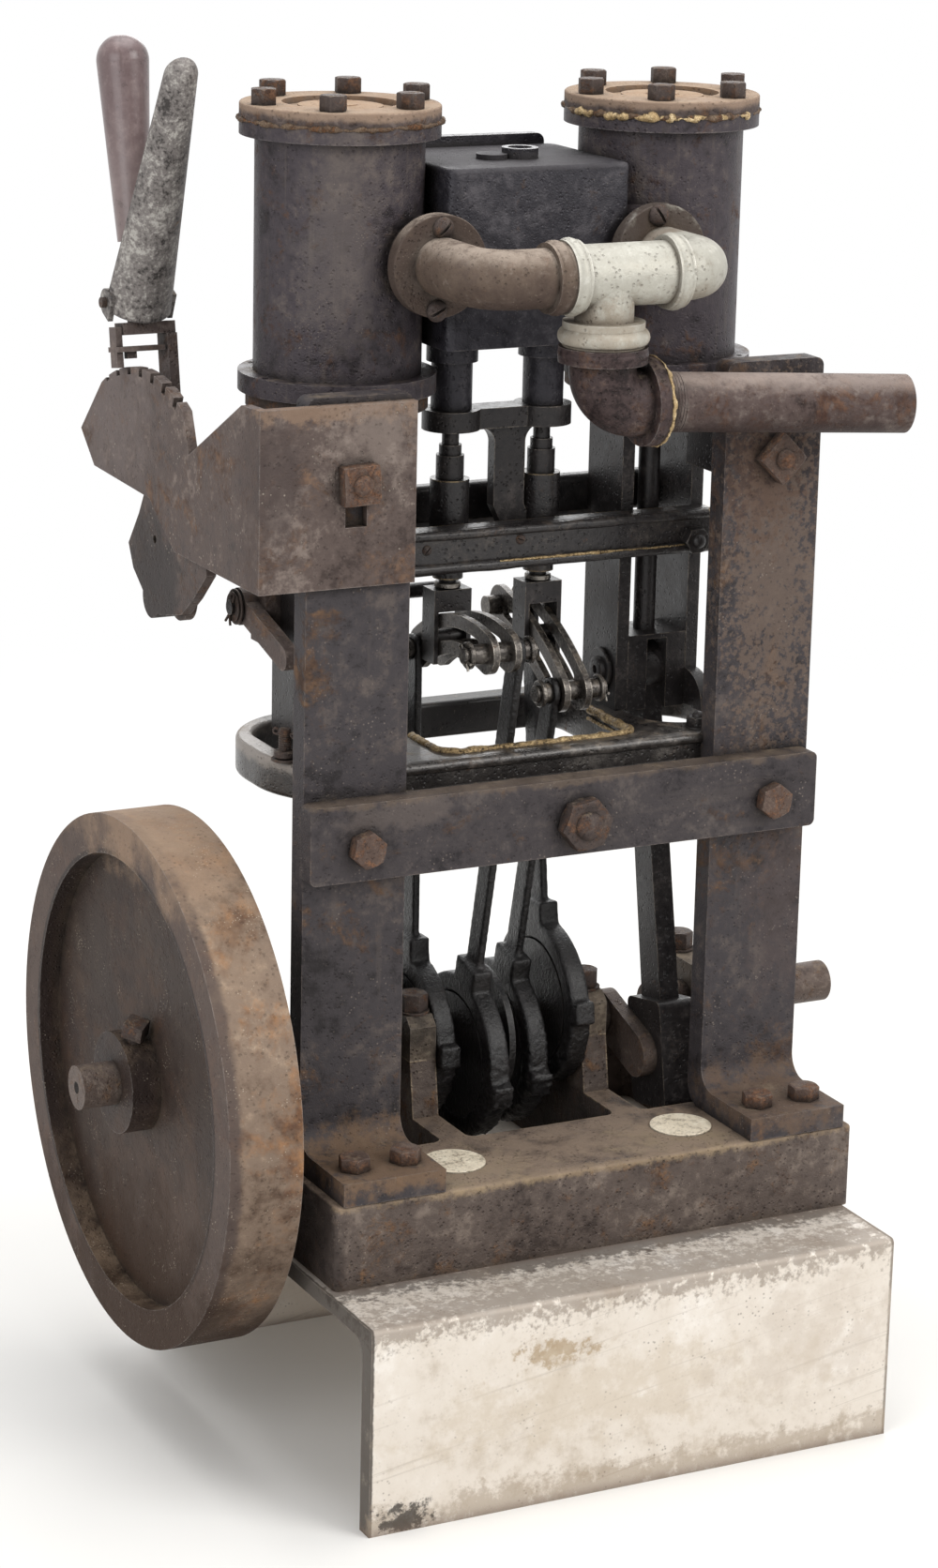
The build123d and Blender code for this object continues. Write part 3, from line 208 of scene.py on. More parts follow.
setCamera(picture)
setStudio(studio)
print("camera, floor and lamps placed")

# a place in the frame from the engine's own datum, in millimetres: midway between the columns, on their
# front face and on the floor
datumShift = (11.4, -69.0, 0.0)


def placeOf(x, y, z):
    return ((x + datumShift[0]) / 1000.0, (y + datumShift[1]) / 1000.0, (z + datumShift[2]) / 1000.0)


# shader groups that the finishes share


def effectGroup(name, outputs, numbers, colours=(), vectors=()):
    tree = bpy.data.node_groups.new(name, "ShaderNodeTree")
    for kind, labels in (("Vector", ("Vector", *vectors)), ("Float", numbers), ("Color", colours)):
        for label in labels:
            tree.interface.new_socket(name=label, in_out="INPUT", socket_type="NodeSocket" + kind)
    for label in outputs:
        kind = "NodeSocketColor" if label == "Color" else "NodeSocketFloat"
        tree.interface.new_socket(name=label, in_out="OUTPUT", socket_type=kind)
    return tree, tree.nodes.new("NodeGroupInput").outputs, tree.nodes.new("NodeGroupOutput").inputs


def makeToneMottle():
    tree, given, result = effectGroup(
        "toneMottle", ("Color", "Value"), ("Patch Scale", "Contrast"), ("Deep", "Mid", "Pale"))
    broadShare, fineShare, fineTimes, middle = 0.52, 0.48, 7.0, 0.5
    deepEnd, paleEnd = 0.12, 0.92
    at, scale = given["Vector"], given["Patch Scale"]
    broad = noise(tree, at, scale, detail=5.0, rough=0.62, warp=0.4)
    fine = noise(tree, at, times(tree, scale, fineTimes), detail=4.0, rough=0.7)
    both = plus(tree, times(tree, broad, broadShare), times(tree, fine, fineShare))
    spread = plus(tree, times(tree, minus(tree, both, middle), given["Contrast"]), middle, clamp=True)
    lower = blendColour(tree, ramp(tree, spread, deepEnd, middle), given["Deep"], given["Mid"])
    whole = blendColour(tree, ramp(tree, spread, middle, paleEnd), lower, given["Pale"])
    tree.links.new(whole, result["Color"])
    tree.links.new(spread, result["Value"])
    return tree


def makeRustBloom():
    tree, given, result = effectGroup(
        "rustBloom", ("Color", "Mask"), ("Patch Scale", "Cover", "Edge"), ("Old", "Young"))
    cloudShare, gritShare, gritTimes, toneTimes = 0.75, 0.25, 9.0, 3.0
    gateBare, gateFall = 0.72, 0.44
    oldEnd, youngEnd = 0.35, 0.68
    at, scale, edge = given["Vector"], given["Patch Scale"], given["Edge"]
    cloud = noise(tree, at, scale, detail=7.0, rough=0.68, warp=0.7)
    grit = noise(tree, at, times(tree, scale, gritTimes), detail=3.0, rough=0.6)
    level = plus(tree, times(tree, cloud, cloudShare), times(tree, grit, gritShare))
    gate = minus(tree, gateBare, times(tree, given["Cover"], gateFall))
    tone = noise(tree, at, times(tree, scale, toneTimes), detail=5.0, rough=0.65)
    tinted = blendColour(tree, ramp(tree, tone, oldEnd, youngEnd), given["Old"], given["Young"])
    tree.links.new(tinted, result["Color"])
    tree.links.new(ramp(tree, level, minus(tree, gate, edge), plus(tree, gate, edge)), result["Mask"])
    return tree


def makeEdgesAndCreviceShade():
    tree, given, result = effectGroup(
        "edgesAndCreviceShade", ("Edge", "Crevice Shade"), ("Edge Width", "Chip Scale", "Reach"))
    turnFrom, turnTo = 0.01, 0.16       # how far the rounded normal turns from the flat one at an edge
    chipFrom, chipTo = 0.36, 0.62
    openFrom, openTo = 0.62, 0.95
    shutFrom, shutTo = 0.92, 0.35
    surface = wire(tree, "ShaderNodeNewGeometry").outputs["Normal"]
    rounded = made(tree, "ShaderNodeBevel", {"Radius": given["Edge Width"]}, samples=4)
    facing = vectorMath(tree, "DOT_PRODUCT", surface, rounded)
    openness = wire(tree, "ShaderNodeAmbientOcclusion", {"Distance": given["Reach"]}, samples=6).outputs["AO"]
    edge = ramp(tree, minus(tree, 1.0, facing), turnFrom, turnTo)
    cloud = noise(tree, given["Vector"], given["Chip Scale"], detail=4.0, rough=0.65)
    chipped = times(tree, edge, ramp(tree, cloud, chipFrom, chipTo))
    tree.links.new(times(tree, chipped, ramp(tree, openness, openFrom, openTo)), result["Edge"])
    # the crevice mask is dark where ambient occlusion finds cover: painted shade in corners and gaps
    tree.links.new(ramp(tree, openness, shutFrom, shutTo), result["Crevice Shade"])
    return tree


def makeSettledDust():
    tree, given, result = effectGroup("settledDust", ("Mask",), ("Amount", "Patch Scale", "Crevice Shade"))
    steep, level = 0.35, 0.92
    gateBare, gateFall, softness, creviceShadeShare = 0.78, 0.6, 0.14, 0.35
    normal = wire(tree, "ShaderNodeNewGeometry").outputs["Normal"]
    facingUp = ramp(tree, wire(tree, "ShaderNodeSeparateXYZ", {0: normal}).outputs["Z"], steep, level)
    cloud = noise(tree, given["Vector"], given["Patch Scale"], detail=6.0, rough=0.7)
    gate = minus(tree, gateBare, times(tree, given["Amount"], gateFall))
    lying = ramp(tree, cloud, minus(tree, gate, softness), plus(tree, gate, softness))
    caught = plus(tree, facingUp, times(tree, given["Crevice Shade"], creviceShadeShare), clamp=True)
    tree.links.new(times(tree, lying, caught, clamp=True), result["Mask"])
    return tree


def makeCastSkin():
    tree, given, result = effectGroup(
        "castSkin", ("Height", "Pits"), ("Pit Scale", "Pit Share", "Wave Scale", "Wave", "Grain"))
    pitRim, pitFloor, bareFrom, pittedFrom = 0.34, 0.10, 0.60, 0.44
    whereTimes, grainTimes = 0.22, 3.0
    at, scale = given["Vector"], given["Pit Scale"]
    cells = made(tree, "ShaderNodeTexVoronoi", {"Vector": at, "Scale": scale})
    where = noise(tree, at, times(tree, scale, whereTimes), detail=3.0, rough=0.6)
    pits = times(tree, ramp(tree, cells, pitRim, pitFloor), ramp(tree, where, bareFrom, pittedFrom))
    pits = times(tree, pits, given["Pit Share"])
    wave = times(tree, noise(tree, at, given["Wave Scale"], detail=4.0, rough=0.6), given["Wave"])
    grain = noise(tree, at, times(tree, scale, grainTimes), detail=2.0, rough=0.6)
    raised = plus(tree, wave, times(tree, grain, given["Grain"]))
    tree.links.new(minus(tree, raised, pits), result["Height"])
    tree.links.new(pits, result["Pits"])
    return tree


def makeStretchedMarks():
    tree, given, result = effectGroup("stretchedMarks", ("Mask",), ("Amount",), vectors=("Stretch", "Turn"))
    gateBare, gateFall, softness = 0.76, 0.4, 0.12
    feeds = {"Vector": given["Vector"], "Rotation": given["Turn"]}
    turned = made(tree, "ShaderNodeVectorRotate", feeds, rotation_type="EULER_XYZ")
    drawn = vectorMath(tree, "MULTIPLY", turned, given["Stretch"])
    lines = noise(tree, drawn, 1.0, detail=5.0, rough=0.62, warp=0.15)
    gate = minus(tree, gateBare, times(tree, given["Amount"], gateFall))
    tree.links.new(ramp(tree, lines, gate, plus(tree, gate, softness)), result["Mask"])
    return tree


def makeMarkPatch():
    tree, given, result = effectGroup(
        "markPatch", ("Mask",), ("Ragged", "Break Scale", "Soft"), vectors=("Centre", "Reach"))
    middle, raggedTimes = 0.5, 4.0
    away = vectorMath(tree, "SUBTRACT", given["Vector"], given["Centre"])
    far = vectorMath(tree, "LENGTH", vectorMath(tree, "DIVIDE", away, given["Reach"]))
    cloud = noise(tree, given["Vector"], given["Break Scale"], detail=6.0, rough=0.7)
    broken = times(tree, minus(tree, cloud, middle), times(tree, given["Ragged"], raggedTimes))
    outer, inner = plus(tree, 1.0, given["Soft"]), minus(tree, 1.0, given["Soft"])
    tree.links.new(ramp(tree, plus(tree, far, broken), outer, inner), result["Mask"])
    return tree


groups = {
    "mottle": makeToneMottle(),
    "rust": makeRustBloom(),
    "edges": makeEdgesAndCreviceShade(),
    "dust": makeSettledDust(),
    "skin": makeCastSkin(),
    "streaks": makeStretchedMarks(),
    "patch": makeMarkPatch(),
}
print("shader groups made:", len(groups))

# what a finish has unless its own dictionary says otherwise; colours are linear, lengths in metres
bareFinish = {
    "deep": (0.03, 0.025, 0.026), "mid": (0.075, 0.063, 0.064), "pale": (0.15, 0.125, 0.115),
    "patchScale": 26.0, "contrast": 2.0,
    "rustOld": (0.06, 0.03, 0.018), "rustYoung": (0.19, 0.085, 0.035), "rustCover": 0.35, "rustScale": 34.0,
    "rustEdge": 0.07, "rustRough": 0.88, "rustLift": 0.35,
    "wear": (0.3, 0.27, 0.25), "wearShare": 0.55, "wearRough": 0.38, "wearMetal": 0.7,
    "edgeWidth": 0.0011, "chipScale": 170.0,
    # the crevice colour darkens the cast pits as dirt, and corners and gaps as painted shade together with dirt
    "creviceDirtAndShade": (0.012, 0.01, 0.009), "creviceShadeShare": 0.8, "reach": 0.009, "pitTint": 0.55,
    "dust": (0.26, 0.2, 0.14), "dustAmount": 0.25, "dustShare": 0.7, "dustTimes": 2.2, "dustRough": 0.93,
    "streak": (0.14, 0.11, 0.09), "streakShare": 0.0, "streakAmount": 0.5, "streakStretch": (160.0, 160.0, 9.0),
    "streakTurn": (0.0, 0.0, 0.0),
    "speck": (0.34, 0.28, 0.22), "speckShare": 0.25, "speckScale": 520.0,
    "rough": (0.48, 0.72), "metal": 0.25, "sheen": 0.22, "coat": 0.0, "coatRough": 0.2,
    "pitScale": 330.0, "pitShare": 0.6, "waveScale": 70.0, "wave": 0.5, "grain": 0.25, "relief": 0.0011,
    # each mark: centre (as for placeOf) and reach in millimetres, colour, share, ragged, break scale, soft, roughness
    "marks": (),
}


def solid(colour):
    return (*colour, 1.0)


def makeFinish(name, look):
    look = {**bareFinish, **look}
    material = bpy.data.materials.new(name)
    material.use_nodes = True
    tree = material.node_tree
    tree.nodes.clear()
    spot = wire(tree, "ShaderNodeTexCoord").outputs["Object"]

    def effect(kind, feeds):
        return wire(tree, "ShaderNodeGroup", {**feeds, "Vector": spot}, node_tree=groups[kind]).outputs

    mottle = effect("mottle", {
        "Patch Scale": look["patchScale"], "Contrast": look["contrast"],
        "Deep": solid(look["deep"]), "Mid": solid(look["mid"]), "Pale": solid(look["pale"])})
    edges = effect("edges", {
        "Edge Width": look["edgeWidth"], "Chip Scale": look["chipScale"], "Reach": look["reach"]})
    skin = effect("skin", {
        "Pit Scale": look["pitScale"], "Pit Share": look["pitShare"], "Wave Scale": look["waveScale"],
        "Wave": look["wave"], "Grain": look["grain"]})
    colour, height = mottle["Color"], skin["Height"]
    roughFrom, roughTo = 0.1, 0.9
    metalFrom, metalTo, metalDeep, metalPale = 0.2, 0.8, look["metal"] * 1.2, look["metal"] * 0.8
    rough = ramp(tree, mottle["Value"], roughFrom, roughTo, *look["rough"])
    metal = ramp(tree, mottle["Value"], metalFrom, metalTo, metalDeep, metalPale)

    def cover(share, tint, tintRough=None, tintMetal=None):
        nonlocal colour, rough, metal
        colour = blendColour(tree, share, colour, tint)
        if tintRough is not None:
            rough = blendValue(tree, share, rough, tintRough)
        if tintMetal is not None:
            metal = blendValue(tree, share, metal, tintMetal)

    if look["streakShare"] > 0:
        streaks = effect("streaks", {
            "Stretch": look["streakStretch"], "Turn": look["streakTurn"], "Amount": look["streakAmount"]})
        cover(times(tree, streaks["Mask"], look["streakShare"]), solid(look["streak"]))
    if look["rustCover"] > 0:
        rust = effect("rust", {
            "Patch Scale": look["rustScale"], "Cover": look["rustCover"], "Edge": look["rustEdge"],
            "Old": solid(look["rustOld"]), "Young": solid(look["rustYoung"])})
        cover(rust["Mask"], rust["Color"], look["rustRough"], 0.0)
        height = plus(tree, height, times(tree, rust["Mask"], look["rustLift"]))
    for centre, reach, tint, share, ragged, breakScale, soft, markRough in look["marks"]:
        patch = effect("patch", {
            "Centre": placeOf(*centre), "Reach": [length / 1000.0 for length in reach],
            "Ragged": ragged, "Break Scale": breakScale, "Soft": soft})
        cover(times(tree, patch["Mask"], share), solid(tint), markRough)
    if look["speckShare"] > 0:
        speckRim, speckCore, crowdTimes, crowdFrom, crowdTo = 0.26, 0.12, 0.12, 0.5, 0.68
        cells = made(tree, "ShaderNodeTexVoronoi", {"Vector": spot, "Scale": look["speckScale"]})
        cloud = noise(tree, spot, look["speckScale"] * crowdTimes, detail=3.0, rough=0.6)
        specks = times(tree, ramp(tree, cells, speckRim, speckCore), ramp(tree, cloud, crowdFrom, crowdTo))
        cover(times(tree, specks, look["speckShare"]), solid(look["speck"]))
    cover(times(tree, skin["Pits"], look["pitTint"]), solid(look["creviceDirtAndShade"]))
    cover(times(tree, edges["Edge"], look["wearShare"]), solid(look["wear"]), look["wearRough"], look["wearMetal"])
    # painted shade, together with dirt: corners and gaps darkened towards the crevice colour wherever ambient
    # occlusion finds cover
    cover(times(tree, edges["Crevice Shade"], look["creviceShadeShare"]), solid(look["creviceDirtAndShade"]))
    if look["dustAmount"] > 0:
        dust = effect("dust", {
            "Amount": look["dustAmount"], "Patch Scale": look["patchScale"] * look["dustTimes"],
            "Crevice Shade": edges["Crevice Shade"]})
        cover(times(tree, dust["Mask"], look["dustShare"]), solid(look["dust"]), look["dustRough"], 0.0)
    normal = made(tree, "ShaderNodeBump", {"Strength": 1.0, "Distance": look["relief"], "Height": height})
    shader = made(tree, "ShaderNodeBsdfPrincipled", {
        "Base Color": colour, "Roughness": rough, "Metallic": metal, "Normal": normal,
        "Specular IOR Level": look["sheen"], "Coat Weight": look["coat"], "Coat Roughness": look["coatRough"]})
    wire(tree, "ShaderNodeOutputMaterial", {"Surface": shader})
    return material


finishes = {
    "cylinderIron": {
        "deep": (0.022, 0.018, 0.02), "mid": (0.053, 0.044, 0.05), "pale": (0.12, 0.098, 0.09), "patchScale": 20.0,
        "contrast": 2.5, "rustOld": (0.04, 0.024, 0.02), "rustYoung": (0.105, 0.058, 0.038), "rustCover": 0.26,
        "streak": (0.1, 0.082, 0.074), "streakShare": 0.4, "streakStretch": (150.0, 150.0, 9.0), "speckShare": 0.3,
        "rough": (0.36, 0.58), "pitShare": 0.35,
        "marks": (
            ((-70, 32, 685), (34, 12, 34), (0.062, 0.043, 0.036), 0.7, 0.5, 120.0, 0.3, 0.7),
            ((70, 32, 685), (34, 12, 34), (0.055, 0.041, 0.036), 0.7, 0.5, 120.0, 0.3, 0.7),
            ((-122, 50, 700), (20, 20, 60), (0.115, 0.096, 0.088), 0.5, 0.9, 80.0, 0.6, 0.55),
        )},
    "coverIron": {
        "deep": (0.028, 0.02, 0.019), "mid": (0.07, 0.053, 0.049), "pale": (0.14, 0.11, 0.1), "patchScale": 40.0,
        "contrast": 3.2, "rustOld": (0.06, 0.032, 0.02), "rustYoung": (0.16, 0.088, 0.05), "rustCover": 0.3,
        "rustScale": 60.0, "dust": (0.4, 0.3, 0.215), "dustAmount": 0.62, "dustShare": 0.55, "rough": (0.62, 0.85),
        "metal": 0.05, "pitShare": 0.5,
        "marks": (
            ((0, 93, 769.6), (400, 400, 4.4), (0.29, 0.205, 0.15), 0.78, 0.4, 75.0, 0.4, 0.85),
            ((-103, 93, 769.6), (34, 34, 6), (0.33, 0.185, 0.095), 0.55, 0.9, 90.0, 0.5, 0.9),
            ((103, 93, 769.6), (34, 34, 6), (0.36, 0.215, 0.115), 0.55, 0.9, 90.0, 0.5, 0.9),
        )},
    "chestIron": {
        "deep": (0.012, 0.011, 0.014), "mid": (0.03, 0.028, 0.034), "pale": (0.078, 0.072, 0.08),
        "patchScale": 22.0, "contrast": 2.2, "rustOld": (0.035, 0.022, 0.018), "rustYoung": (0.085, 0.052, 0.034),
        "rustCover": 0.12, "dust": (0.13, 0.12, 0.125), "dustAmount": 0.16, "dustShare": 0.5, "speckShare": 0.15,
        "rough": (0.26, 0.5), "sheen": 0.3, "pitShare": 0.3, "wave": 0.8,
        "marks": (
            ((0, 93, 736), (75, 60, 4), (0.05, 0.046, 0.05), 0.85, 0.3, 60.0, 0.3, 0.85),
        )},
    "flangeIron": {
        "deep": (0.022, 0.016, 0.014), "mid": (0.062, 0.045, 0.038), "pale": (0.14, 0.105, 0.085),
        "patchScale": 60.0, "rustScale": 60.0},
    "columnIron": {
        "deep": (0.022, 0.019, 0.02), "mid": (0.049, 0.043, 0.046), "pale": (0.105, 0.086, 0.078),
        "patchScale": 16.0, "contrast": 2.7, "rustOld": (0.05, 0.03, 0.022), "rustYoung": (0.135, 0.08, 0.048),
        "rustCover": 0.3, "rustScale": 24.0, "wear": (0.21, 0.175, 0.155), "wearShare": 0.65,
        "streak": (0.095, 0.078, 0.07), "streakShare": 0.3, "streakStretch": (110.0, 110.0, 10.0),
        "speck": (0.24, 0.2, 0.17), "speckShare": 0.6, "speckScale": 380.0, "pitShare": 0.35,
        "marks": (
            ((132, 0, 588), (45, 30, 42), (0.03, 0.023, 0.023), 0.8, 0.6, 120.0, 0.4, 0.7),
            ((136, 0, 500), (26, 30, 85), (0.15, 0.108, 0.084), 0.62, 1.9, 230.0, 0.35, 0.8),
            ((125, 0, 556), (22, 30, 30), (0.1, 0.058, 0.04), 0.5, 1.7, 160.0, 0.4, 0.8),
            ((150, 0, 300), (20, 30, 60), (0.085, 0.064, 0.06), 0.5, 1.1, 70.0, 0.5, 0.7),
            ((-130, -35, 190), (45, 45, 12), (0.185, 0.118, 0.073), 0.75, 0.9, 90.0, 0.5, 0.85),
            ((130, -35, 190), (45, 45, 12), (0.15, 0.098, 0.066), 0.65, 0.9, 90.0, 0.5, 0.85),
        )},
    "bracketIron": {
        "deep": (0.05, 0.036, 0.032), "mid": (0.094, 0.07, 0.062), "pale": (0.2, 0.16, 0.14), "patchScale": 22.0,
        "contrast": 2.8, "rustOld": (0.07, 0.042, 0.031), "rustYoung": (0.175, 0.108, 0.072), "rustCover": 0.34,
        "speck": (0.36, 0.31, 0.26), "speckShare": 0.85, "speckScale": 330.0, "rough": (0.5, 0.75), "pitShare": 0.4,
        "marks": (
            ((-192, 163, 482), (20, 48, 50), (0.026, 0.021, 0.02), 0.85, 0.5, 60.0, 0.3, 0.55),
            ((-187, 215, 590), (30, 60, 50), (0.165, 0.135, 0.128), 0.55, 0.8, 60.0, 0.6, 0.65),
            ((-194, 4, 565), (5, 16, 60), (0.07, 0.05, 0.044), 0.6, 0.7, 60.0, 0.6, 0.65),
            ((-150, -6, 616), (60, 10, 6), (0.25, 0.17, 0.12), 0.7, 1.2, 130.0, 0.5, 0.85),
            ((-122, -6, 600), (22, 6, 20), (0.24, 0.195, 0.17), 0.5, 1.1, 120.0, 0.6, 0.7),
            ((-182, -6, 575), (14, 6, 34), (0.06, 0.045, 0.042), 0.65, 0.9, 100.0, 0.5, 0.6),
        )},
    "crossbarSteel": {
        "deep": (0.022, 0.019, 0.021), "mid": (0.05, 0.043, 0.045), "pale": (0.1, 0.084, 0.078), "patchScale": 18.0,
        "contrast": 2.7, "rustOld": (0.045, 0.028, 0.021), "rustYoung": (0.125, 0.074, 0.046), "rustCover": 0.18,
        "wear": (0.23, 0.19, 0.165), "wearShare": 0.7, "streak": (0.09, 0.075, 0.068), "streakShare": 0.22,
        "streakStretch": (10.0, 90.0, 90.0), "speck": (0.24, 0.2, 0.17), "speckShare": 0.6, "speckScale": 380.0,
        "pitShare": 0.3,
        "marks": (
            ((-110, -14, 385), (35, 6, 10), (0.115, 0.094, 0.085), 0.6, 1.0, 70.0, 0.5, 0.7),
            ((0, -7, 393.8), (300, 10, 3), (0.17, 0.125, 0.09), 0.45, 1.0, 90.0, 0.5, 0.85),
        )},
    "boltDark": {
        "deep": (0.024, 0.018, 0.017), "mid": (0.064, 0.048, 0.043), "pale": (0.145, 0.115, 0.098),
        "patchScale": 90.0, "rustOld": (0.055, 0.03, 0.021), "rustYoung": (0.155, 0.082, 0.048), "rustCover": 0.38,
        "rustScale": 110.0, "wear": (0.24, 0.2, 0.17), "edgeWidth": 0.0008, "chipScale": 400.0, "pitScale": 700.0,
        "relief": 0.0006},
    "boltBrown": {
        "deep": (0.038, 0.025, 0.021), "mid": (0.094, 0.063, 0.051), "pale": (0.19, 0.14, 0.11), "patchScale": 90.0,
        "rustOld": (0.07, 0.036, 0.024), "rustYoung": (0.205, 0.105, 0.06), "rustCover": 0.45, "rustScale": 110.0,
        "edgeWidth": 0.0008, "chipScale": 400.0, "pitScale": 700.0, "relief": 0.0006},
    "elbowRust": {
        "deep": (0.085, 0.06, 0.05), "mid": (0.12, 0.087, 0.066), "pale": (0.3, 0.25, 0.215), "patchScale": 38.0,
        "contrast": 1.9, "rustOld": (0.08, 0.048, 0.036), "rustYoung": (0.21, 0.135, 0.095), "rustCover": 0.25,
        "rustScale": 48.0, "dust": (0.38, 0.315, 0.26), "dustAmount": 0.55, "dustShare": 0.72, "speckShare": 0.4,
        "rough": (0.55, 0.8), "pitShare": 0.5,
        "marks": (
            ((-50, -27, 665), (45, 32, 20), (0.055, 0.037, 0.031), 0.85, 0.6, 60.0, 0.6, 0.75),
            ((-70, 34.5, 685), (50, 7.4, 50), (0.066, 0.047, 0.039), 0.9, 0.15, 90.0, 0.1, 0.75),
            ((-70, 10, 685), (22, 14, 30), (0.085, 0.06, 0.048), 0.6, 0.7, 80.0, 0.5, 0.75),
        )},
    "shaftSteel": {
        "deep": (0.045, 0.032, 0.028), "mid": (0.105, 0.078, 0.066), "pale": (0.22, 0.175, 0.145),
        "patchScale": 46.0, "contrast": 2.2, "rustOld": (0.06, 0.036, 0.028), "rustYoung": (0.19, 0.115, 0.07),
        "rustCover": 0.3, "rustScale": 60.0, "rough": (0.4, 0.65), "pitShare": 0.3,
        "marks": (
            ((-262.8, 93.2, 208.5), (4, 3.6, 3.6), (0.01, 0.008, 0.007), 0.95, 0.05, 300.0, 0.12, 0.8),
            ((-103, 93, 208), (60, 70, 70), (0.016, 0.014, 0.014), 0.75, 0.5, 60.0, 0.4, 0.4),
        )},
    "teeGalvanised": {
        "deep": (0.27, 0.245, 0.2), "mid": (0.42, 0.405, 0.355), "pale": (0.58, 0.57, 0.515), "patchScale": 34.0,
        "contrast": 1.9, "rustOld": (0.17, 0.115, 0.075), "rustYoung": (0.34, 0.245, 0.15), "rustCover": 0.1,
        "rustScale": 60.0, "wear": (0.75, 0.73, 0.69), "creviceDirtAndShade": (0.08, 0.058, 0.04), "dust": (0.62, 0.6, 0.54),
        "dustAmount": 0.2, "speckShare": 0.0, "rough": (0.34, 0.58), "metal": 0.3, "pitShare": 0.5,
        "marks": (
            ((3, -27, 648), (34, 34, 22), (0.29, 0.235, 0.175), 0.6, 0.8, 70.0, 0.5, 0.7),
            ((68, -27, 668), (30, 34, 12), (0.25, 0.205, 0.155), 0.55, 0.8, 70.0, 0.5, 0.7),
            ((66, 18, 685), (20, 12, 30), (0.18, 0.135, 0.1), 0.7, 0.7, 80.0, 0.5, 0.7),
            ((70, 34.5, 685), (50, 7.4, 50), (0.06, 0.043, 0.036), 0.95, 0.1, 90.0, 0.08, 0.75),
        )},
    "elbowLowIron": {
        "deep": (0.02, 0.013, 0.013), "mid": (0.052, 0.035, 0.034), "pale": (0.115, 0.083, 0.072),
        "patchScale": 34.0, "contrast": 3.0, "rustOld": (0.042, 0.024, 0.019), "rustYoung": (0.125, 0.066, 0.04),
        "rough": (0.38, 0.62)},
    "pipeRust": {
        "deep": (0.026, 0.016, 0.014), "mid": (0.076, 0.053, 0.048), "pale": (0.17, 0.138, 0.122), "contrast": 2.8,
        "rustOld": (0.045, 0.022, 0.016), "rustYoung": (0.125, 0.068, 0.044), "rustCover": 0.36,
        "dust": (0.33, 0.27, 0.24), "dustAmount": 0.62, "dustShare": 0.62, "streak": (0.17, 0.13, 0.115),
        "streakShare": 0.3, "streakStretch": (9.0, 120.0, 120.0), "rough": (0.45, 0.72), "metal": 0.2,
        "pitShare": 0.3,
        "marks": (
            ((110, -40, 590), (140, 30, 14), (0.03, 0.017, 0.015), 0.8, 0.4, 80.0, 0.5, 0.6),
            ((60, -30, 629), (60, 20, 8), (0.33, 0.26, 0.22), 0.45, 1.1, 120.0, 0.6, 0.8),
        )},
    "gearOil": {
        "deep": (0.008, 0.007, 0.008), "mid": (0.02, 0.017, 0.017), "pale": (0.078, 0.066, 0.062),
        "patchScale": 40.0, "rustCover": 0.1, "rustScale": 60.0, "wear": (0.32, 0.27, 0.22), "wearShare": 0.7,
        "dust": (0.13, 0.11, 0.09), "dustAmount": 0.12, "speckShare": 0.12, "rough": (0.3, 0.56), "metal": 0.15,
        "sheen": 0.35, "coat": 0.1, "coatRough": 0.3, "relief": 0.0008},
    "beamOil": {
        "deep": (0.008, 0.007, 0.008), "mid": (0.02, 0.017, 0.017), "pale": (0.085, 0.07, 0.06), "patchScale": 30.0,
        "rustCover": 0.12, "rustScale": 50.0, "wear": (0.42, 0.3, 0.15), "wearShare": 0.95, "edgeWidth": 0.0018,
        "chipScale": 90.0, "dust": (0.16, 0.125, 0.095), "rough": (0.24, 0.5), "metal": 0.15, "sheen": 0.38,
        "coat": 0.22, "coatRough": 0.2, "waveScale": 110.0, "wave": 0.9, "relief": 0.0012},
    "greaseBlack": {
        "deep": (0.004, 0.004, 0.005), "mid": (0.01, 0.009, 0.009), "pale": (0.036, 0.031, 0.032),
        "patchScale": 60.0, "rustCover": 0.0, "wearShare": 0.2, "dust": (0.1, 0.085, 0.075), "dustAmount": 0.1,
        "speckShare": 0.0, "rough": (0.26, 0.52), "metal": 0.05, "sheen": 0.35, "coat": 0.12, "coatRough": 0.3,
        "pitShare": 0.2, "waveScale": 420.0, "wave": 0.8, "relief": 0.0012},
    "linkSteel": {
        "deep": (0.03, 0.026, 0.023), "mid": (0.07, 0.061, 0.054), "pale": (0.25, 0.225, 0.195), "patchScale": 70.0,
        "contrast": 2.5, "rustCover": 0.15, "rustScale": 90.0, "wear": (0.55, 0.5, 0.43), "wearShare": 0.85,
        "rough": (0.22, 0.46), "metal": 0.55, "sheen": 0.5, "pitShare": 0.3, "relief": 0.0006},
    "pinSteel": {
        "deep": (0.12, 0.105, 0.09), "mid": (0.22, 0.2, 0.175), "pale": (0.52, 0.49, 0.45), "patchScale": 90.0,
        "rustOld": (0.06, 0.045, 0.035), "rustYoung": (0.15, 0.11, 0.08), "rustCover": 0.18, "rustScale": 120.0,
        "wear": (0.62, 0.58, 0.53), "rough": (0.22, 0.42), "metal": 0.75, "sheen": 0.5, "pitShare": 0.3,
        "relief": 0.0004},
    "ringIron": {
        "deep": (0.014, 0.012, 0.012), "mid": (0.04, 0.035, 0.032), "pale": (0.16, 0.142, 0.126),
        "patchScale": 30.0, "contrast": 2.4, "rustCover": 0.16, "wear": (0.5, 0.37, 0.2), "wearShare": 0.85,
        "edgeWidth": 0.0022, "chipScale": 110.0, "rough": (0.22, 0.46), "sheen": 0.5, "coat": 0.25,
        "coatRough": 0.18,
        "marks": (
            ((0, 150, 394), (170, 34, 30), (0.014, 0.012, 0.012), 0.92, 0.3, 50.0, 0.3, 0.75),
            ((-152, 84, 405), (34, 80, 7), (0.3, 0.265, 0.235), 0.75, 0.5, 60.0, 0.4, 0.6),
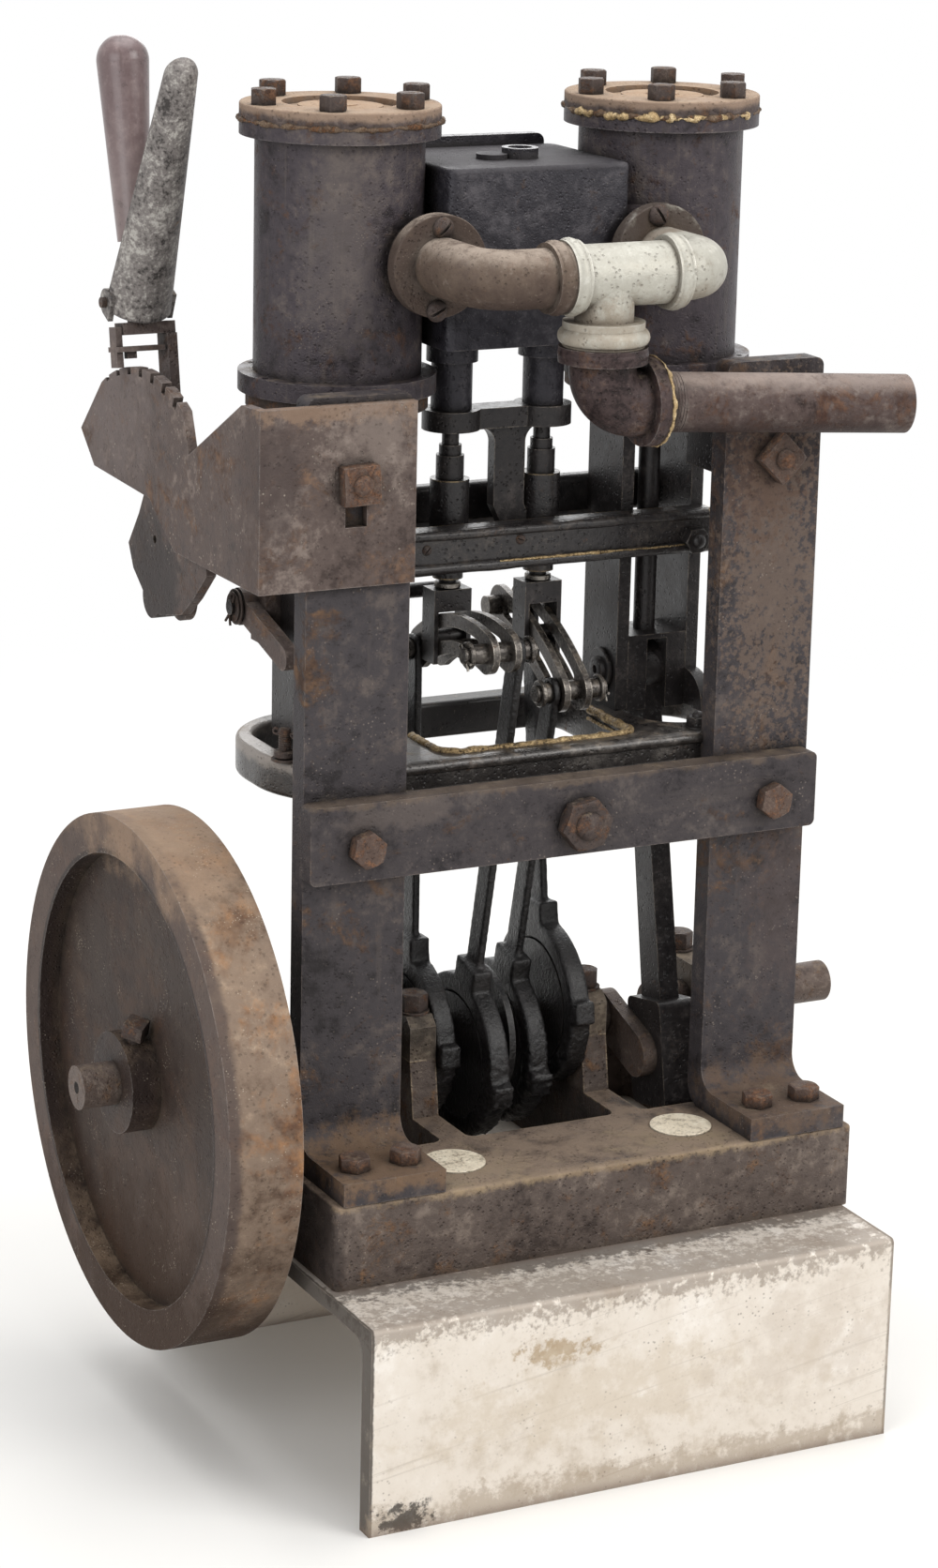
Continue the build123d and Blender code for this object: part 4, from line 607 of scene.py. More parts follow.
            ((0, 15, 388), (120, 12, 10), (0.03, 0.026, 0.025), 0.6, 0.8, 60.0, 0.6, 0.3),
        )},
    "capIron": {
        "deep": (0.06, 0.046, 0.034), "mid": (0.125, 0.098, 0.076), "pale": (0.23, 0.19, 0.145), "patchScale": 46.0,
        "contrast": 3.0, "rustCover": 0.2, "dust": (0.27, 0.22, 0.165), "dustAmount": 0.4,
        "marks": (
            ((57.5, 85, 234.5), (3.2, 3.2, 3), (0.006, 0.005, 0.005), 0.95, 0.05, 300.0, 0.15, 0.8),
            ((-57.5, 93, 225), (20, 45, 20), (0.016, 0.013, 0.012), 0.75, 0.6, 60.0, 0.5, 0.35),
        )},
    "baseIron": {
        "deep": (0.045, 0.034, 0.03), "mid": (0.098, 0.076, 0.066), "pale": (0.19, 0.152, 0.128),
        "patchScale": 18.0, "contrast": 2.7, "rustOld": (0.06, 0.034, 0.024), "rustYoung": (0.185, 0.105, 0.058),
        "rustCover": 0.3, "wear": (0.44, 0.34, 0.22), "wearShare": 0.9, "edgeWidth": 0.002,
        "dust": (0.235, 0.175, 0.13), "dustAmount": 0.55, "dustShare": 0.8, "speckShare": 0.5, "pitShare": 0.5,
        "wave": 0.9, "relief": 0.0014,
        "marks": (
            ((30, 75, 150), (100, 75, 28), (0.012, 0.01, 0.01), 0.7, 0.5, 40.0, 0.5, 0.4),
            ((-168, 0, 140), (6, 100, 50), (0.018, 0.013, 0.012), 0.6, 0.5, 40.0, 0.5, 0.7),
            ((0, -30, 174.3), (90, 20, 4), (0.125, 0.088, 0.066), 0.6, 1.0, 70.0, 0.6, 0.8),
            ((-75, -34, 174.3), (40, 26, 4), (0.36, 0.28, 0.185), 0.65, 1.1, 90.0, 0.6, 0.85),
            ((70, -34, 174.3), (42, 26, 4), (0.33, 0.255, 0.165), 0.6, 1.1, 90.0, 0.6, 0.85),
            ((0, -60, 174), (200, 5, 3.2), (0.36, 0.265, 0.165), 0.5, 1.1, 120.0, 0.6, 0.85),
        )},
    "plugPale": {
        "deep": (0.28, 0.23, 0.165), "mid": (0.78, 0.69, 0.54), "pale": (0.9, 0.84, 0.7), "patchScale": 90.0,
        "contrast": 2.2, "rustOld": (0.14, 0.1, 0.065), "rustYoung": (0.33, 0.25, 0.165), "rustCover": 0.16,
        "rustScale": 120.0, "wear": (0.8, 0.74, 0.62), "speck": (0.08, 0.06, 0.04), "speckShare": 0.6,
        "metal": 0.2},
    "wheelRust": {
        "deep": (0.08, 0.05, 0.034), "mid": (0.2, 0.145, 0.108), "pale": (0.38, 0.285, 0.205), "patchScale": 13.0,
        "contrast": 2.3, "rustOld": (0.085, 0.042, 0.026), "rustYoung": (0.36, 0.185, 0.085), "rustCover": 0.42,
        "rustScale": 15.0, "rustEdge": 0.09, "dust": (0.36, 0.26, 0.18), "dustAmount": 0.45, "dustShare": 0.4,
        "speck": (0.5, 0.43, 0.34), "speckShare": 0.6, "rough": (0.5, 0.75), "pitShare": 0.4,
        "marks": (
            ((-234, 93.2, 208.5), (7, 400, 400), (0.074, 0.055, 0.05), 0.85, 0.35, 40.0, 0.35, 0.7),
            ((-222, 93.2, 208.5), (200, 136.8, 136.8), (0.022, 0.014, 0.012), 0.9, 0.003, 60.0, 0.006, 0.55),
            ((-222, 60, 130), (30, 60, 50), (0.092, 0.062, 0.048), 0.6, 1.0, 30.0, 0.7, 0.7),
            ((-222, 30, 40), (60, 200, 100), (0.034, 0.017, 0.009), 0.9, 0.5, 22.0, 0.45, 0.7),
            ((-212, 93, 362), (30, 110, 30), (0.36, 0.245, 0.165), 0.55, 0.9, 30.0, 0.6, 0.8),
        )},
    "channelAluminium": {
        "deep": (0.5, 0.43, 0.35), "mid": (0.69, 0.63, 0.56), "pale": (0.81, 0.77, 0.72), "patchScale": 8.0,
        "rustOld": (0.28, 0.2, 0.13), "rustYoung": (0.46, 0.34, 0.21), "rustCover": 0.06, "rustScale": 30.0,
        "wear": (0.3, 0.26, 0.22), "wearShare": 0.8, "wearRough": 0.6, "wearMetal": 0.2, "chipScale": 120.0,
        "creviceDirtAndShade": (0.14, 0.1, 0.08), "reach": 0.01, "dust": (0.22, 0.17, 0.13), "dustAmount": 0.3,
        "dustShare": 0.55, "streak": (0.3, 0.25, 0.2), "streakShare": 0.3, "streakAmount": 0.42,
        "streakStretch": (5.0, 40.0, 300.0), "streakTurn": (0.0, 0.16, 0.0), "speck": (0.12, 0.09, 0.07),
        "speckShare": 0.5, "speckScale": 300.0, "rough": (0.32, 0.52), "metal": 0.3, "sheen": 0.35,
        "pitShare": 0.15, "wave": 0.3, "grain": 0.15, "relief": 0.0004,
        "marks": (
            ((0, -112, 124), (300, 26, 10), (0.19, 0.145, 0.11), 0.6, 1.5, 190.0, 0.5, 0.75),
            ((0, -64, 124), (300, 12, 4), (0.06, 0.045, 0.036), 0.8, 1.2, 150.0, 0.5, 0.8),
            # painted shade: the channel's left end face, dark brown, is darkened further so that it reads as shaded
            # against the lamps from the left
            ((-172.6, 0, 60), (1.8, 500, 200), (0.05, 0.04, 0.033), 0.9, 0.3, 160.0, 0.3, 0.75),
            ((165.6, 0, 60), (1.8, 500, 200), (0.2, 0.165, 0.135), 0.8, 0.3, 160.0, 0.3, 0.75),
            ((-58, -118.5, 92), (20, 6, 6), (0.36, 0.26, 0.15), 0.75, 1.5, 150.0, 0.5, 0.7),
            ((-20, -118.5, 60), (90, 8, 20), (0.55, 0.47, 0.37), 0.55, 1.6, 60.0, 0.7, 0.6),
            ((0, -118.5, 4), (300, 6, 10), (0.34, 0.27, 0.2), 0.6, 1.4, 120.0, 0.6, 0.75),
            ((-150, -118.5, 8), (14, 6, 8), (0.03, 0.025, 0.021), 0.85, 1.4, 200.0, 0.4, 0.8),
            ((110, -118.5, 70), (50, 6, 30), (0.53, 0.46, 0.39), 0.5, 1.5, 50.0, 0.7, 0.6),
        )},
    "triggerSteel": {
        "deep": (0.048, 0.043, 0.041), "mid": (0.19, 0.172, 0.163), "pale": (0.42, 0.4, 0.37), "patchScale": 60.0,
        "contrast": 3.6, "rustOld": (0.085, 0.055, 0.04), "rustYoung": (0.2, 0.13, 0.085), "rustCover": 0.14,
        "wear": (0.04, 0.036, 0.036), "wearShare": 0.8, "edgeWidth": 0.002, "chipScale": 90.0,
        "speck": (0.56, 0.53, 0.48), "speckShare": 0.9, "speckScale": 420.0, "pitShare": 0.25,
        "marks": (
            ((-185, 268, 786), (22, 36, 42), (0.05, 0.051, 0.058), 0.85, 0.9, 70.0, 0.6, 0.45),
            ((-185, 240, 740), (20, 30, 30), (0.135, 0.13, 0.132), 0.5, 1.0, 60.0, 0.6, 0.5),
        )},
    "gripWood": {
        "deep": (0.046, 0.03, 0.03), "mid": (0.132, 0.09, 0.09), "pale": (0.235, 0.175, 0.17), "rustCover": 0.0,
        "wearShare": 0.15, "dustAmount": 0.0, "streak": (0.085, 0.052, 0.05), "streakShare": 0.6,
        "streakStretch": (170.0, 170.0, 9.0), "speckShare": 0.08, "rough": (0.22, 0.4), "metal": 0.0, "sheen": 0.4,
        "coat": 0.2, "coatRough": 0.25, "pitShare": 0.1, "relief": 0.0003,
        "marks": (
            ((-185, 196, 700), (20, 14, 50), (0.27, 0.215, 0.205), 0.45, 0.7, 50.0, 0.7, 0.3),
        )},
    "gasketRust": {
        "deep": (0.05, 0.032, 0.022), "mid": (0.13, 0.088, 0.06), "pale": (0.27, 0.2, 0.135), "patchScale": 140.0,
        "contrast": 2.6, "rustCover": 0.4, "rustScale": 160.0, "pitShare": 0.3, "waveScale": 420.0, "wave": 1.2},
    "gasketGold": {
        "deep": (0.16, 0.1, 0.045), "mid": (0.42, 0.3, 0.155), "pale": (0.76, 0.62, 0.39), "patchScale": 160.0,
        "contrast": 2.8, "rustOld": (0.06, 0.035, 0.02), "rustYoung": (0.22, 0.13, 0.06), "rustCover": 0.22,
        "rustScale": 190.0, "wear": (0.8, 0.66, 0.42), "rough": (0.28, 0.6), "metal": 0.3, "waveScale": 420.0,
        "wave": 1.2},
    # bronze for the ring eye's lip, and also the colour of the painted edge highlight on the beam
    "bronzeWornAndHighlight": {
        "deep": (0.05, 0.034, 0.018), "mid": (0.26, 0.18, 0.088), "pale": (0.66, 0.5, 0.27), "patchScale": 110.0,
        "contrast": 3.0, "rustOld": (0.014, 0.011, 0.009), "rustYoung": (0.06, 0.042, 0.025), "rustCover": 0.25,
        "rustScale": 120.0, "wear": (0.62, 0.48, 0.27), "rough": (0.2, 0.5), "metal": 0.4, "waveScale": 300.0,
        "wave": 1.0},
}

nodesOf = {
    "baseIron": ("base_casting",),
    "plugPale": ("base_plugs",),
    "boltDark": ("bearing_cap_bolts", "cover_bolts", "trigger_pin"),
    "capIron": ("bearing_caps",),
    "channelAluminium": ("channel_stand",),
    "chestIron": ("chest_door", "valve_chest"),
    "columnIron": ("column_left", "column_right"),
    "boltBrown": ("column_nuts", "crossbar_bolts", "crossbar_stud", "foot_bolts"),
    "gearOil": ("connecting_rods", "crossheads", "gland_bridge", "inner_guides", "outer_guides", "rear_bar",
        "reversing_shaft", "valve_rods"),
    "shaftSteel": ("crankshaft",),
    "crossbarSteel": ("crossbar",),
    "coverIron": ("cylinder_covers",),
    "flangeIron": ("cylinder_heads",),
    "cylinderIron": ("cylinder_left", "cylinder_right"),
    "greaseBlack": ("eccentric_rods_backward", "eccentric_rods_forward", "eccentric_sheaves", "shaft_disc"),
    "elbowRust": ("exhaust_elbow_left",),
    "elbowLowIron": ("exhaust_elbow_lower",),
    "teeGalvanised": ("exhaust_elbow_right", "exhaust_tee"),
    "pipeRust": ("exhaust_pipe",),
    "linkSteel": ("expansion_links",),
    "wheelRust": ("flywheel",),
    "beamOil": ("guide_beam",),
    "bracketIron": ("latch_catch", "lever_bracket", "reversing_lever", "shaft_lug"),
    "triggerSteel": ("latch_trigger",),
    "gripWood": ("lever_grip",),
    "ringIron": ("ring_frame",),
}


def coatNode(node, material):
    part = cadNodes[node]
    if not part.material_slots:
        part.data.materials.append(material)
    for slot in part.material_slots:
        slot.material = material


madeFinishes = {name: makeFinish(name, look) for name, look in finishes.items()}
for finish, nodes in nodesOf.items():
    for node in nodes:
        coatNode(node, madeFinishes[finish])
print("finishes on", sum(len(nodes) for nodes in nodesOf.values()), "of", len(cadNodes), "nodes")

# shared makers for the detail pieces


def finishPiece(name, mesh, finish, body="engine", smoothAngle=35.0):
    mesh.name = name
    piece = addObject(name, mesh)
    mesh.materials.clear()
    mesh.materials.append(madeFinishes[finish])
    for face in mesh.polygons:
        face.use_smooth = True
        face.material_index = 0
    mesh.set_sharp_from_angle(angle=math.radians(smoothAngle))
    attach(piece, body)
    return piece


def pointMesh(name, points, outward=(), turns=(), edges=()):
    mesh = bpy.data.meshes.new(name)
    mesh.from_pydata([tuple(point) for point in points], list(edges), [])
    # each attribute is filled before the next is made, because a new one moves the data of the others
    if outward:
        facing = mesh.attributes.new("outward", "FLOAT_VECTOR", "POINT")
        for index, direction in enumerate(outward):
            facing.data[index].vector = direction
    if turns:
        turned = mesh.attributes.new("turned", "FLOAT", "POINT")
        for index, angle in enumerate(turns):
            turned.data[index].value = angle
    return mesh


def bakedMesh(carrier):
    plain = bpy.data.meshes.new_from_object(carrier.evaluated_get(bpy.context.evaluated_depsgraph_get()))
    carrier.modifiers.clear()
    bpy.data.objects.remove(carrier)
    return plain


def growTree(name, mesh, tree, settings, bevel=0.0, bevelSteps=2, bevelAngle=30.0):
    carrier = addObject(name + "Carrier", mesh)
    grown = carrier.modifiers.new("grow", "NODES")
    grown.node_group = tree
    sockets = {item.name: item.identifier for item in tree.interface.items_tree if item.in_out == "INPUT"}
    for label, value in settings.items():
        grown[sockets[label]] = value
    if bevel > 0:
        softened = carrier.modifiers.new("softened", "BEVEL")
        softened.width, softened.segments = bevel, bevelSteps
        softened.limit_method, softened.angle_limit = "ANGLE", math.radians(bevelAngle)
    return bakedMesh(carrier)


def growPiece(name, look, mesh, tree, bevel=0.0, smoothAngle=35.0):
    settings = {**look["tree"], "Finish": madeFinishes[look["finish"]]}
    return finishPiece(name, growTree(name, mesh, tree, settings, bevel), look["finish"], smoothAngle=smoothAngle)


def growOnSeats(name, look, tree, bevel):
    seats = [placeOf(*seat) for seat in look["seats"]]
    points = pointMesh(name, seats, [look["facing"]] * len(seats), [0.0] * len(seats))
    return growPiece(name, look, points, tree, bevel)


def geometryTree(name, inputs):
    tree = bpy.data.node_groups.new(name, "GeometryNodeTree")
    tree.interface.new_socket(name="Geometry", in_out="INPUT", socket_type="NodeSocketGeometry")
    for label, value in inputs.items():
        kind = "NodeSocketInt" if isinstance(value, int) else "NodeSocketFloat"
        tree.interface.new_socket(name=label, in_out="INPUT", socket_type=kind).default_value = value
    tree.interface.new_socket(name="Finish", in_out="INPUT", socket_type="NodeSocketMaterial")
    tree.interface.new_socket(name="Geometry", in_out="OUTPUT", socket_type="NodeSocketGeometry")
    return tree, tree.nodes.new("NodeGroupInput").outputs, tree.nodes.new("NodeGroupOutput").inputs


def coatResult(tree, given, geometry, result):
    coated = made(tree, "GeometryNodeSetMaterial", {"Geometry": geometry, "Material": given["Finish"]})
    tree.links.new(coated, result["Geometry"])


def lifted(tree, geometry, height):
    offset = made(tree, "ShaderNodeCombineXYZ", {"Z": height})
    return made(tree, "GeometryNodeTransform", {"Geometry": geometry, "Translation": offset})


def scaled(tree, vector, factor):
    return made(tree, "ShaderNodeVectorMath", {0: vector, "Scale": factor}, operation="SCALE")


def seededNoise(tree, at, seed, scale, detail):
    feeds = {"Vector": at, "W": seed, "Scale": scale, "Detail": detail}
    return wire(tree, "ShaderNodeTexNoise", feeds, noise_dimensions="4D").outputs


def seatOnPoints(tree, given, shape, result):
    facing = made(tree, "GeometryNodeInputNamedAttribute", {"Name": "outward"}, data_type="FLOAT_VECTOR")
    start = made(tree, "GeometryNodeInputNamedAttribute", {"Name": "turned"}, data_type="FLOAT")
    spread = given["Turn Spread"]
    feeds = {2: times(tree, spread, -1.0), 3: spread, "Seed": given["Seed"]}
    chance = wire(tree, "FunctionNodeRandomValue", feeds, data_type="FLOAT").outputs[1]
    aligned = made(tree, "FunctionNodeAlignRotationToVector", {"Vector": facing}, axis="Z")
    feeds = {"Axis": (0.0, 0.0, 1.0), "Angle": plus(tree, start, chance)}
    spin = made(tree, "FunctionNodeAxisAngleToRotation", feeds)
    both = made(tree, "FunctionNodeRotateRotation", {0: aligned, 1: spin}, rotation_space="LOCAL")
    feeds = {"Points": given["Geometry"], "Instance": shape, "Rotation": both}
    placed = made(tree, "GeometryNodeInstanceOnPoints", feeds)
    coatResult(tree, given, made(tree, "GeometryNodeRealizeInstances", {"Geometry": placed}), result)


def makeBoltTree():
    tree, given, result = geometryTree("chamferedBolts", {
        "Sides": 6, "Head Radius": 0.008, "Head Height": 0.008, "Crown Share": 0.84, "Washer Radius": 0.01,
        "Washer Height": 0.001, "Stud Radius": 0.004, "Stud Length": 0.004, "Turn Spread": 0.3, "Seed": 3})
    coneSides, coneSlope, washerSides = 40, 1.7, 36
    headRadius, headHeight, washerHeight = given["Head Radius"], given["Head Height"], given["Washer Height"]
    feeds = {"Vertices": given["Sides"], "Radius": headRadius, "Depth": headHeight}
    prism = made(tree, "GeometryNodeMeshCylinder", feeds)
    crown = times(tree, headRadius, given["Crown Share"])
    skirt = plus(tree, crown, times(tree, headHeight, coneSlope))
    feeds = {"Vertices": coneSides, "Radius Top": crown, "Radius Bottom": skirt, "Depth": headHeight}
    half = times(tree, headHeight, 0.5)
    cone = lifted(tree, made(tree, "GeometryNodeMeshCone", feeds), times(tree, half, -1.0))
    trimmed = wire(tree, "GeometryNodeMeshBoolean", operation="INTERSECT", solver="EXACT")
    tree.links.new(prism, trimmed.inputs[1])
    tree.links.new(cone, trimmed.inputs[1])
    head = lifted(tree, trimmed.outputs[0], plus(tree, washerHeight, half))
    feeds = {"Vertices": washerSides, "Radius": given["Washer Radius"], "Depth": washerHeight}
    washer = lifted(tree, made(tree, "GeometryNodeMeshCylinder", feeds), times(tree, washerHeight, 0.5))
    ball = made(tree, "GeometryNodeMeshUVSphere", {"Segments": 24, "Rings": 12, "Radius": given["Stud Radius"]})
    squat = sums(tree, "DIVIDE", given["Stud Length"], given["Stud Radius"])
    squeezed = made(tree, "ShaderNodeCombineXYZ", {"X": 1.0, "Y": 1.0, "Z": squat})
    top = made(tree, "ShaderNodeCombineXYZ", {"Z": plus(tree, washerHeight, headHeight)})
    stud = made(tree, "GeometryNodeTransform", {"Geometry": ball, "Translation": top, "Scale": squeezed})
    joined = tree.nodes.new("GeometryNodeJoinGeometry")
    for part in (head, washer, stud):
        tree.links.new(part, joined.inputs[0])
    seatOnPoints(tree, given, joined.outputs[0], result)
    return tree


def makeScrewTree():
    tree, given, result = geometryTree("slottedScrews", {
        "Head Radius": 0.006, "Head Height": 0.004, "Slot Width": 0.0014, "Slot Depth": 0.002, "Turn Spread": 1.2,
        "Seed": 5})
    bladeTimes = 2.4        # length of the slot's blade over the head's radius
    radius, height = given["Head Radius"], given["Head Height"]
    ball = made(tree, "GeometryNodeMeshUVSphere", {"Segments": 28, "Rings": 16, "Radius": radius})
    squat = made(tree, "ShaderNodeCombineXYZ", {"X": 1.0, "Y": 1.0, "Z": sums(tree, "DIVIDE", height, radius)})
    dome = made(tree, "GeometryNodeTransform", {"Geometry": ball, "Scale": squat})
    size = made(tree, "ShaderNodeCombineXYZ", {
        "X": times(tree, radius, bladeTimes), "Y": given["Slot Width"], "Z": times(tree, given["Slot Depth"], 2.0)})
    blade = lifted(tree, made(tree, "GeometryNodeMeshCube", {"Size": size}), height)
    cut = wire(tree, "GeometryNodeMeshBoolean", operation="DIFFERENCE", solver="EXACT")
    tree.links.new(dome, cut.inputs[0])
    tree.links.new(blade, cut.inputs[1])
    seatOnPoints(tree, given, cut.outputs[0], result)
    return tree


def makeBeadTree():
    tree, given, result = geometryTree("raggedBead", {
        "Radius": 0.001, "Step": 0.0015, "Swell": 0.6, "Wander": 0.0006, "Grain Scale": 260.0, "Sides": 8, "Seed": 7})
    seedTimes, lumpSeedStep, lumpTimes, strength, thinnest = 3.17, 9.0, 0.6, 4.0, 0.12
    line = made(tree, "GeometryNodeMeshToCurve", {"Mesh": given["Geometry"]})
    line = made(tree, "GeometryNodeResampleCurve", {"Curve": line, "Length": given["Step"]}, mode="LENGTH")
    at = made(tree, "GeometryNodeInputPosition")
    seeded = times(tree, given["Seed"], seedTimes)
    cloud = seededNoise(tree, at, seeded, given["Grain Scale"], 3.0)["Color"]
    spread = scaled(tree, vectorMath(tree, "SUBTRACT", cloud, (0.5, 0.5, 0.5)), times(tree, given["Wander"], strength))
    line = made(tree, "GeometryNodeSetPosition", {"Geometry": line, "Offset": spread})
    lumpScale = times(tree, given["Grain Scale"], lumpTimes)
    lumps = seededNoise(tree, at, plus(tree, seeded, lumpSeedStep), lumpScale, 4.0)["Fac"]
    lumps = times(tree, minus(tree, lumps, 0.5), times(tree, given["Swell"], strength))
    thick = sums(tree, "MAXIMUM", times(tree, plus(tree, lumps, 1.0), given["Radius"]),
                 times(tree, given["Radius"], thinnest))
    line = made(tree, "GeometryNodeSetCurveRadius", {"Curve": line, "Radius": thick})
    ring = made(tree, "GeometryNodeCurvePrimitiveCircle", {"Resolution": given["Sides"], "Radius": 1.0}, mode="RADIUS")
    bead = wire(tree, "GeometryNodeCurveToMesh", {"Curve": line, "Profile Curve": ring, "Fill Caps": True})
    if "Scale" in bead.inputs:
        tree.links.new(made(tree, "GeometryNodeInputRadius"), bead.inputs["Scale"])
    coatResult(tree, given, bead.outputs[0], result)
    return tree


def makeThreadTree():
    tree, given, result = geometryTree("cutThread", {
        "Turns": 10.0, "Radius": 0.016, "Length": 0.02, "Crest": 0.0006, "Turn Spread": 0.0, "Seed": 2})
    coil = made(tree, "GeometryNodeCurveSpiral", {
        "Resolution": 36, "Rotations": given["Turns"], "Start Radius": given["Radius"],
        "End Radius": given["Radius"], "Height": given["Length"]})
    ridge = made(tree, "GeometryNodeCurvePrimitiveCircle", {"Resolution": 4, "Radius": given["Crest"]}, mode="RADIUS")
    thread = made(tree, "GeometryNodeCurveToMesh", {"Curve": coil, "Profile Curve": ridge, "Fill Caps": True})
    seatOnPoints(tree, given, thread, result)
    return tree


def makeGreaseTree():
    tree, given, result = geometryTree("lumpyGrease", {"Lump Height": 0.0012, "Lump Scale": 160.0, "Seed": 4})
    dryAbove, cakedBelow, dryShare = 0.235, 0.190, 0.05     # heights over the floor between which the grease thins
    broadSeed, fineSeed, fineTimes, fineShare = 1.7, 4.1, 3.2, 0.45
    broadFrom, broadTo, fineFrom, fineTo = 0.42, 0.72, 0.45, 0.75
    at, normal = made(tree, "GeometryNodeInputPosition"), made(tree, "GeometryNodeInputNormal")
    seed, scale = given["Seed"], given["Lump Scale"]
    broad = seededNoise(tree, at, times(tree, seed, broadSeed), scale, 4.0)["Fac"]
    fine = seededNoise(tree, at, times(tree, seed, fineSeed), times(tree, scale, fineTimes), 2.0)["Fac"]
    low = wire(tree, "ShaderNodeSeparateXYZ", {0: at}).outputs["Z"]
    where = ramp(tree, low, dryAbove, cakedBelow, dryShare, 1.0)
    small = times(tree, ramp(tree, fine, fineFrom, fineTo), fineShare)
    lumps = plus(tree, ramp(tree, broad, broadFrom, broadTo), small)
    height = times(tree, times(tree, lumps, where), given["Lump Height"])
    feeds = {"Geometry": given["Geometry"], "Offset": scaled(tree, normal, height)}
    coatResult(tree, given, made(tree, "GeometryNodeSetPosition", feeds), result)
    return tree


def turnedMesh(name, parts, segments=40):
    shaped = bmesh.new()
    angles = [2 * math.pi * step / segments for step in range(segments)]
    for place, axis, profile in parts:
        axis = Vector(axis).normalized()
        side = axis.orthogonal().normalized()
        other = axis.cross(side)
        rings = []
        for along, radius in profile:
            centre = Vector(place) + axis * along
            rim = [centre + (side * math.cos(angle) + other * math.sin(angle)) * radius for angle in angles]
            rings.append([shaped.verts.new(point) for point in (rim if radius > 0 else [centre])])
        pairs = list(zip(rings, rings[1:])) + ([(rings[-1], rings[0])] if profile[0][1] > 0 else [])
        for lower, upper in pairs:
            for step in range(segments):
                after = (step + 1) % segments
                corners = [lower[0]] if len(lower) == 1 else [lower[step], lower[after]]
                corners += [upper[0]] if len(upper) == 1 else [upper[after], upper[step]]
                if len(corners) > 2:
                    shaped.faces.new(corners)
    bmesh.ops.recalc_face_normals(shaped, faces=shaped.faces)
    mesh = bpy.data.meshes.new(name)
    shaped.to_mesh(mesh)
    shaped.free()
    return mesh


def weldedNode(node, touching=1e-6):
    merged = bmesh.new()
    merged.from_mesh(cadNodes[node].data)
    bmesh.ops.remove_doubles(merged, verts=merged.verts, dist=touching)
    return merged


def looseSolids(node):
    merged = weldedNode(node)
    waiting, boxes = set(merged.verts), []
    while waiting:
        stack, body = [waiting.pop()], []
        while stack:
            vertex = stack.pop()
            body.append(vertex.co.copy())
            for edge in vertex.link_edges:
                near = edge.other_vert(vertex)
                if near in waiting:
                    waiting.remove(near)
                    stack.append(near)
        low = Vector([min(point[axis] for point in body) for axis in range(3)])
        high = Vector([max(point[axis] for point in body) for axis in range(3)])
        boxes.append((low, high))
    merged.free()
    return sorted(boxes, key=lambda pair: tuple(round(value, 4) for value in pair[0]))


boltTree, screwTree, beadTree = makeBoltTree(), makeScrewTree(), makeBeadTree()
threadTree, greaseTree = makeThreadTree(), makeGreaseTree()
print("geometry trees made")

# bolts and nuts: seats are read from the plain heads of the CAD nodes that they stand for; lengths in metres

upward, forward, backward = (0.0, 0.0, 1.0), (0.0, -1.0, 0.0), (0.0, 1.0, 0.0)
leftward, rightward = (-1.0, 0.0, 0.0), (1.0, 0.0, 0.0)
crossbarFace = placeOf(0.0, -13.9, 0.0)[1]
plainBolt = {
    "Sides": 6, "Crown Share": 0.85, "Washer Radius": 0.008, "Stud Radius": 0.003, "Stud Length": 0.0002,
    "Turn Spread": 0.5}
boltSets = {
    "coverBolts": {
        "node": "cover_bolts", "facing": upward, "finish": "boltDark", "starts": (0.0,), "bevel": 0.0004,
        "tree": {**plainBolt, "Head Radius": 0.0079, "Head Height": 0.0086, "Crown Share": 0.86,
                 "Washer Radius": 0.007, "Washer Height": 0.0003, "Seed": 11}},
    "capBolts": {
        "node": "bearing_cap_bolts", "facing": upward, "finish": "boltDark", "starts": (0.2,), "bevel": 0.0005,
        "tree": {**plainBolt, "Head Radius": 0.0088, "Head Height": 0.0106, "Washer Radius": 0.0098,
                 "Washer Height": 0.0014, "Seed": 12}},
    "footBolts": {
        "node": "foot_bolts", "facing": upward, "finish": "boltBrown", "starts": (0.1,), "bevel": 0.0005,
        "tree": {**plainBolt, "Head Radius": 0.0094, "Head Height": 0.0078, "Washer Height": 0.0003,
                 "Turn Spread": 0.4, "Seed": 13}},
    "crossbarBolts": {
        "node": "crossbar_bolts", "facing": forward, "finish": "boltBrown", "starts": (0.1,), "bevel": 0.0005,
        "tree": {**plainBolt, "Head Radius": 0.0108, "Head Height": 0.0082, "Washer Radius": 0.0086,
                 "Washer Height": 0.0004, "Turn Spread": 0.3, "Seed": 14}},
    "crossbarStudNut": {
        "node": "crossbar_stud", "facing": forward, "finish": "boltDark", "starts": (0.15,), "bevel": 0.0006,
        "onFace": crossbarFace,
        "tree": {**plainBolt, "Head Radius": 0.0162, "Head Height": 0.0088, "Crown Share": 0.86,
                 "Washer Radius": 0.0142, "Washer Height": 0.0012, "Stud Radius": 0.0086, "Stud Length": 0.0052,
                 "Turn Spread": 0.0, "Seed": 15}},
    "columnNuts": {
        "node": "column_nuts", "facing": forward, "finish": "boltBrown", "starts": (0.835, 0.0), "bevel": 0.0007,
        "tree": {**plainBolt, "Sides": 4, "Head Radius": 0.0152, "Head Height": 0.0088, "Crown Share": 0.84,
                 "Washer Radius": 0.0098, "Washer Height": 0.0004, "Stud Radius": 0.0062, "Stud Length": 0.005,
                 "Turn Spread": 0.0, "Seed": 16}},
}
for name, look in boltSets.items():
    seats, starts = [], look["starts"]
    for low, high in looseSolids(look["node"]):
        middle = (low + high) / 2
        seats.append((middle.x, middle.y, low.z) if look["facing"] == upward else (middle.x, high.y, middle.z))
    if "onFace" in look:
        seats = [(seats[0][0], look["onFace"], seats[0][2])]
    turns = [starts[index % len(starts)] for index in range(len(seats))]
    points = pointMesh(name, seats, [look["facing"]] * len(seats), turns)
    piece = growPiece(name, look, points, boltTree, look["bevel"])
    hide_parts(look["node"])
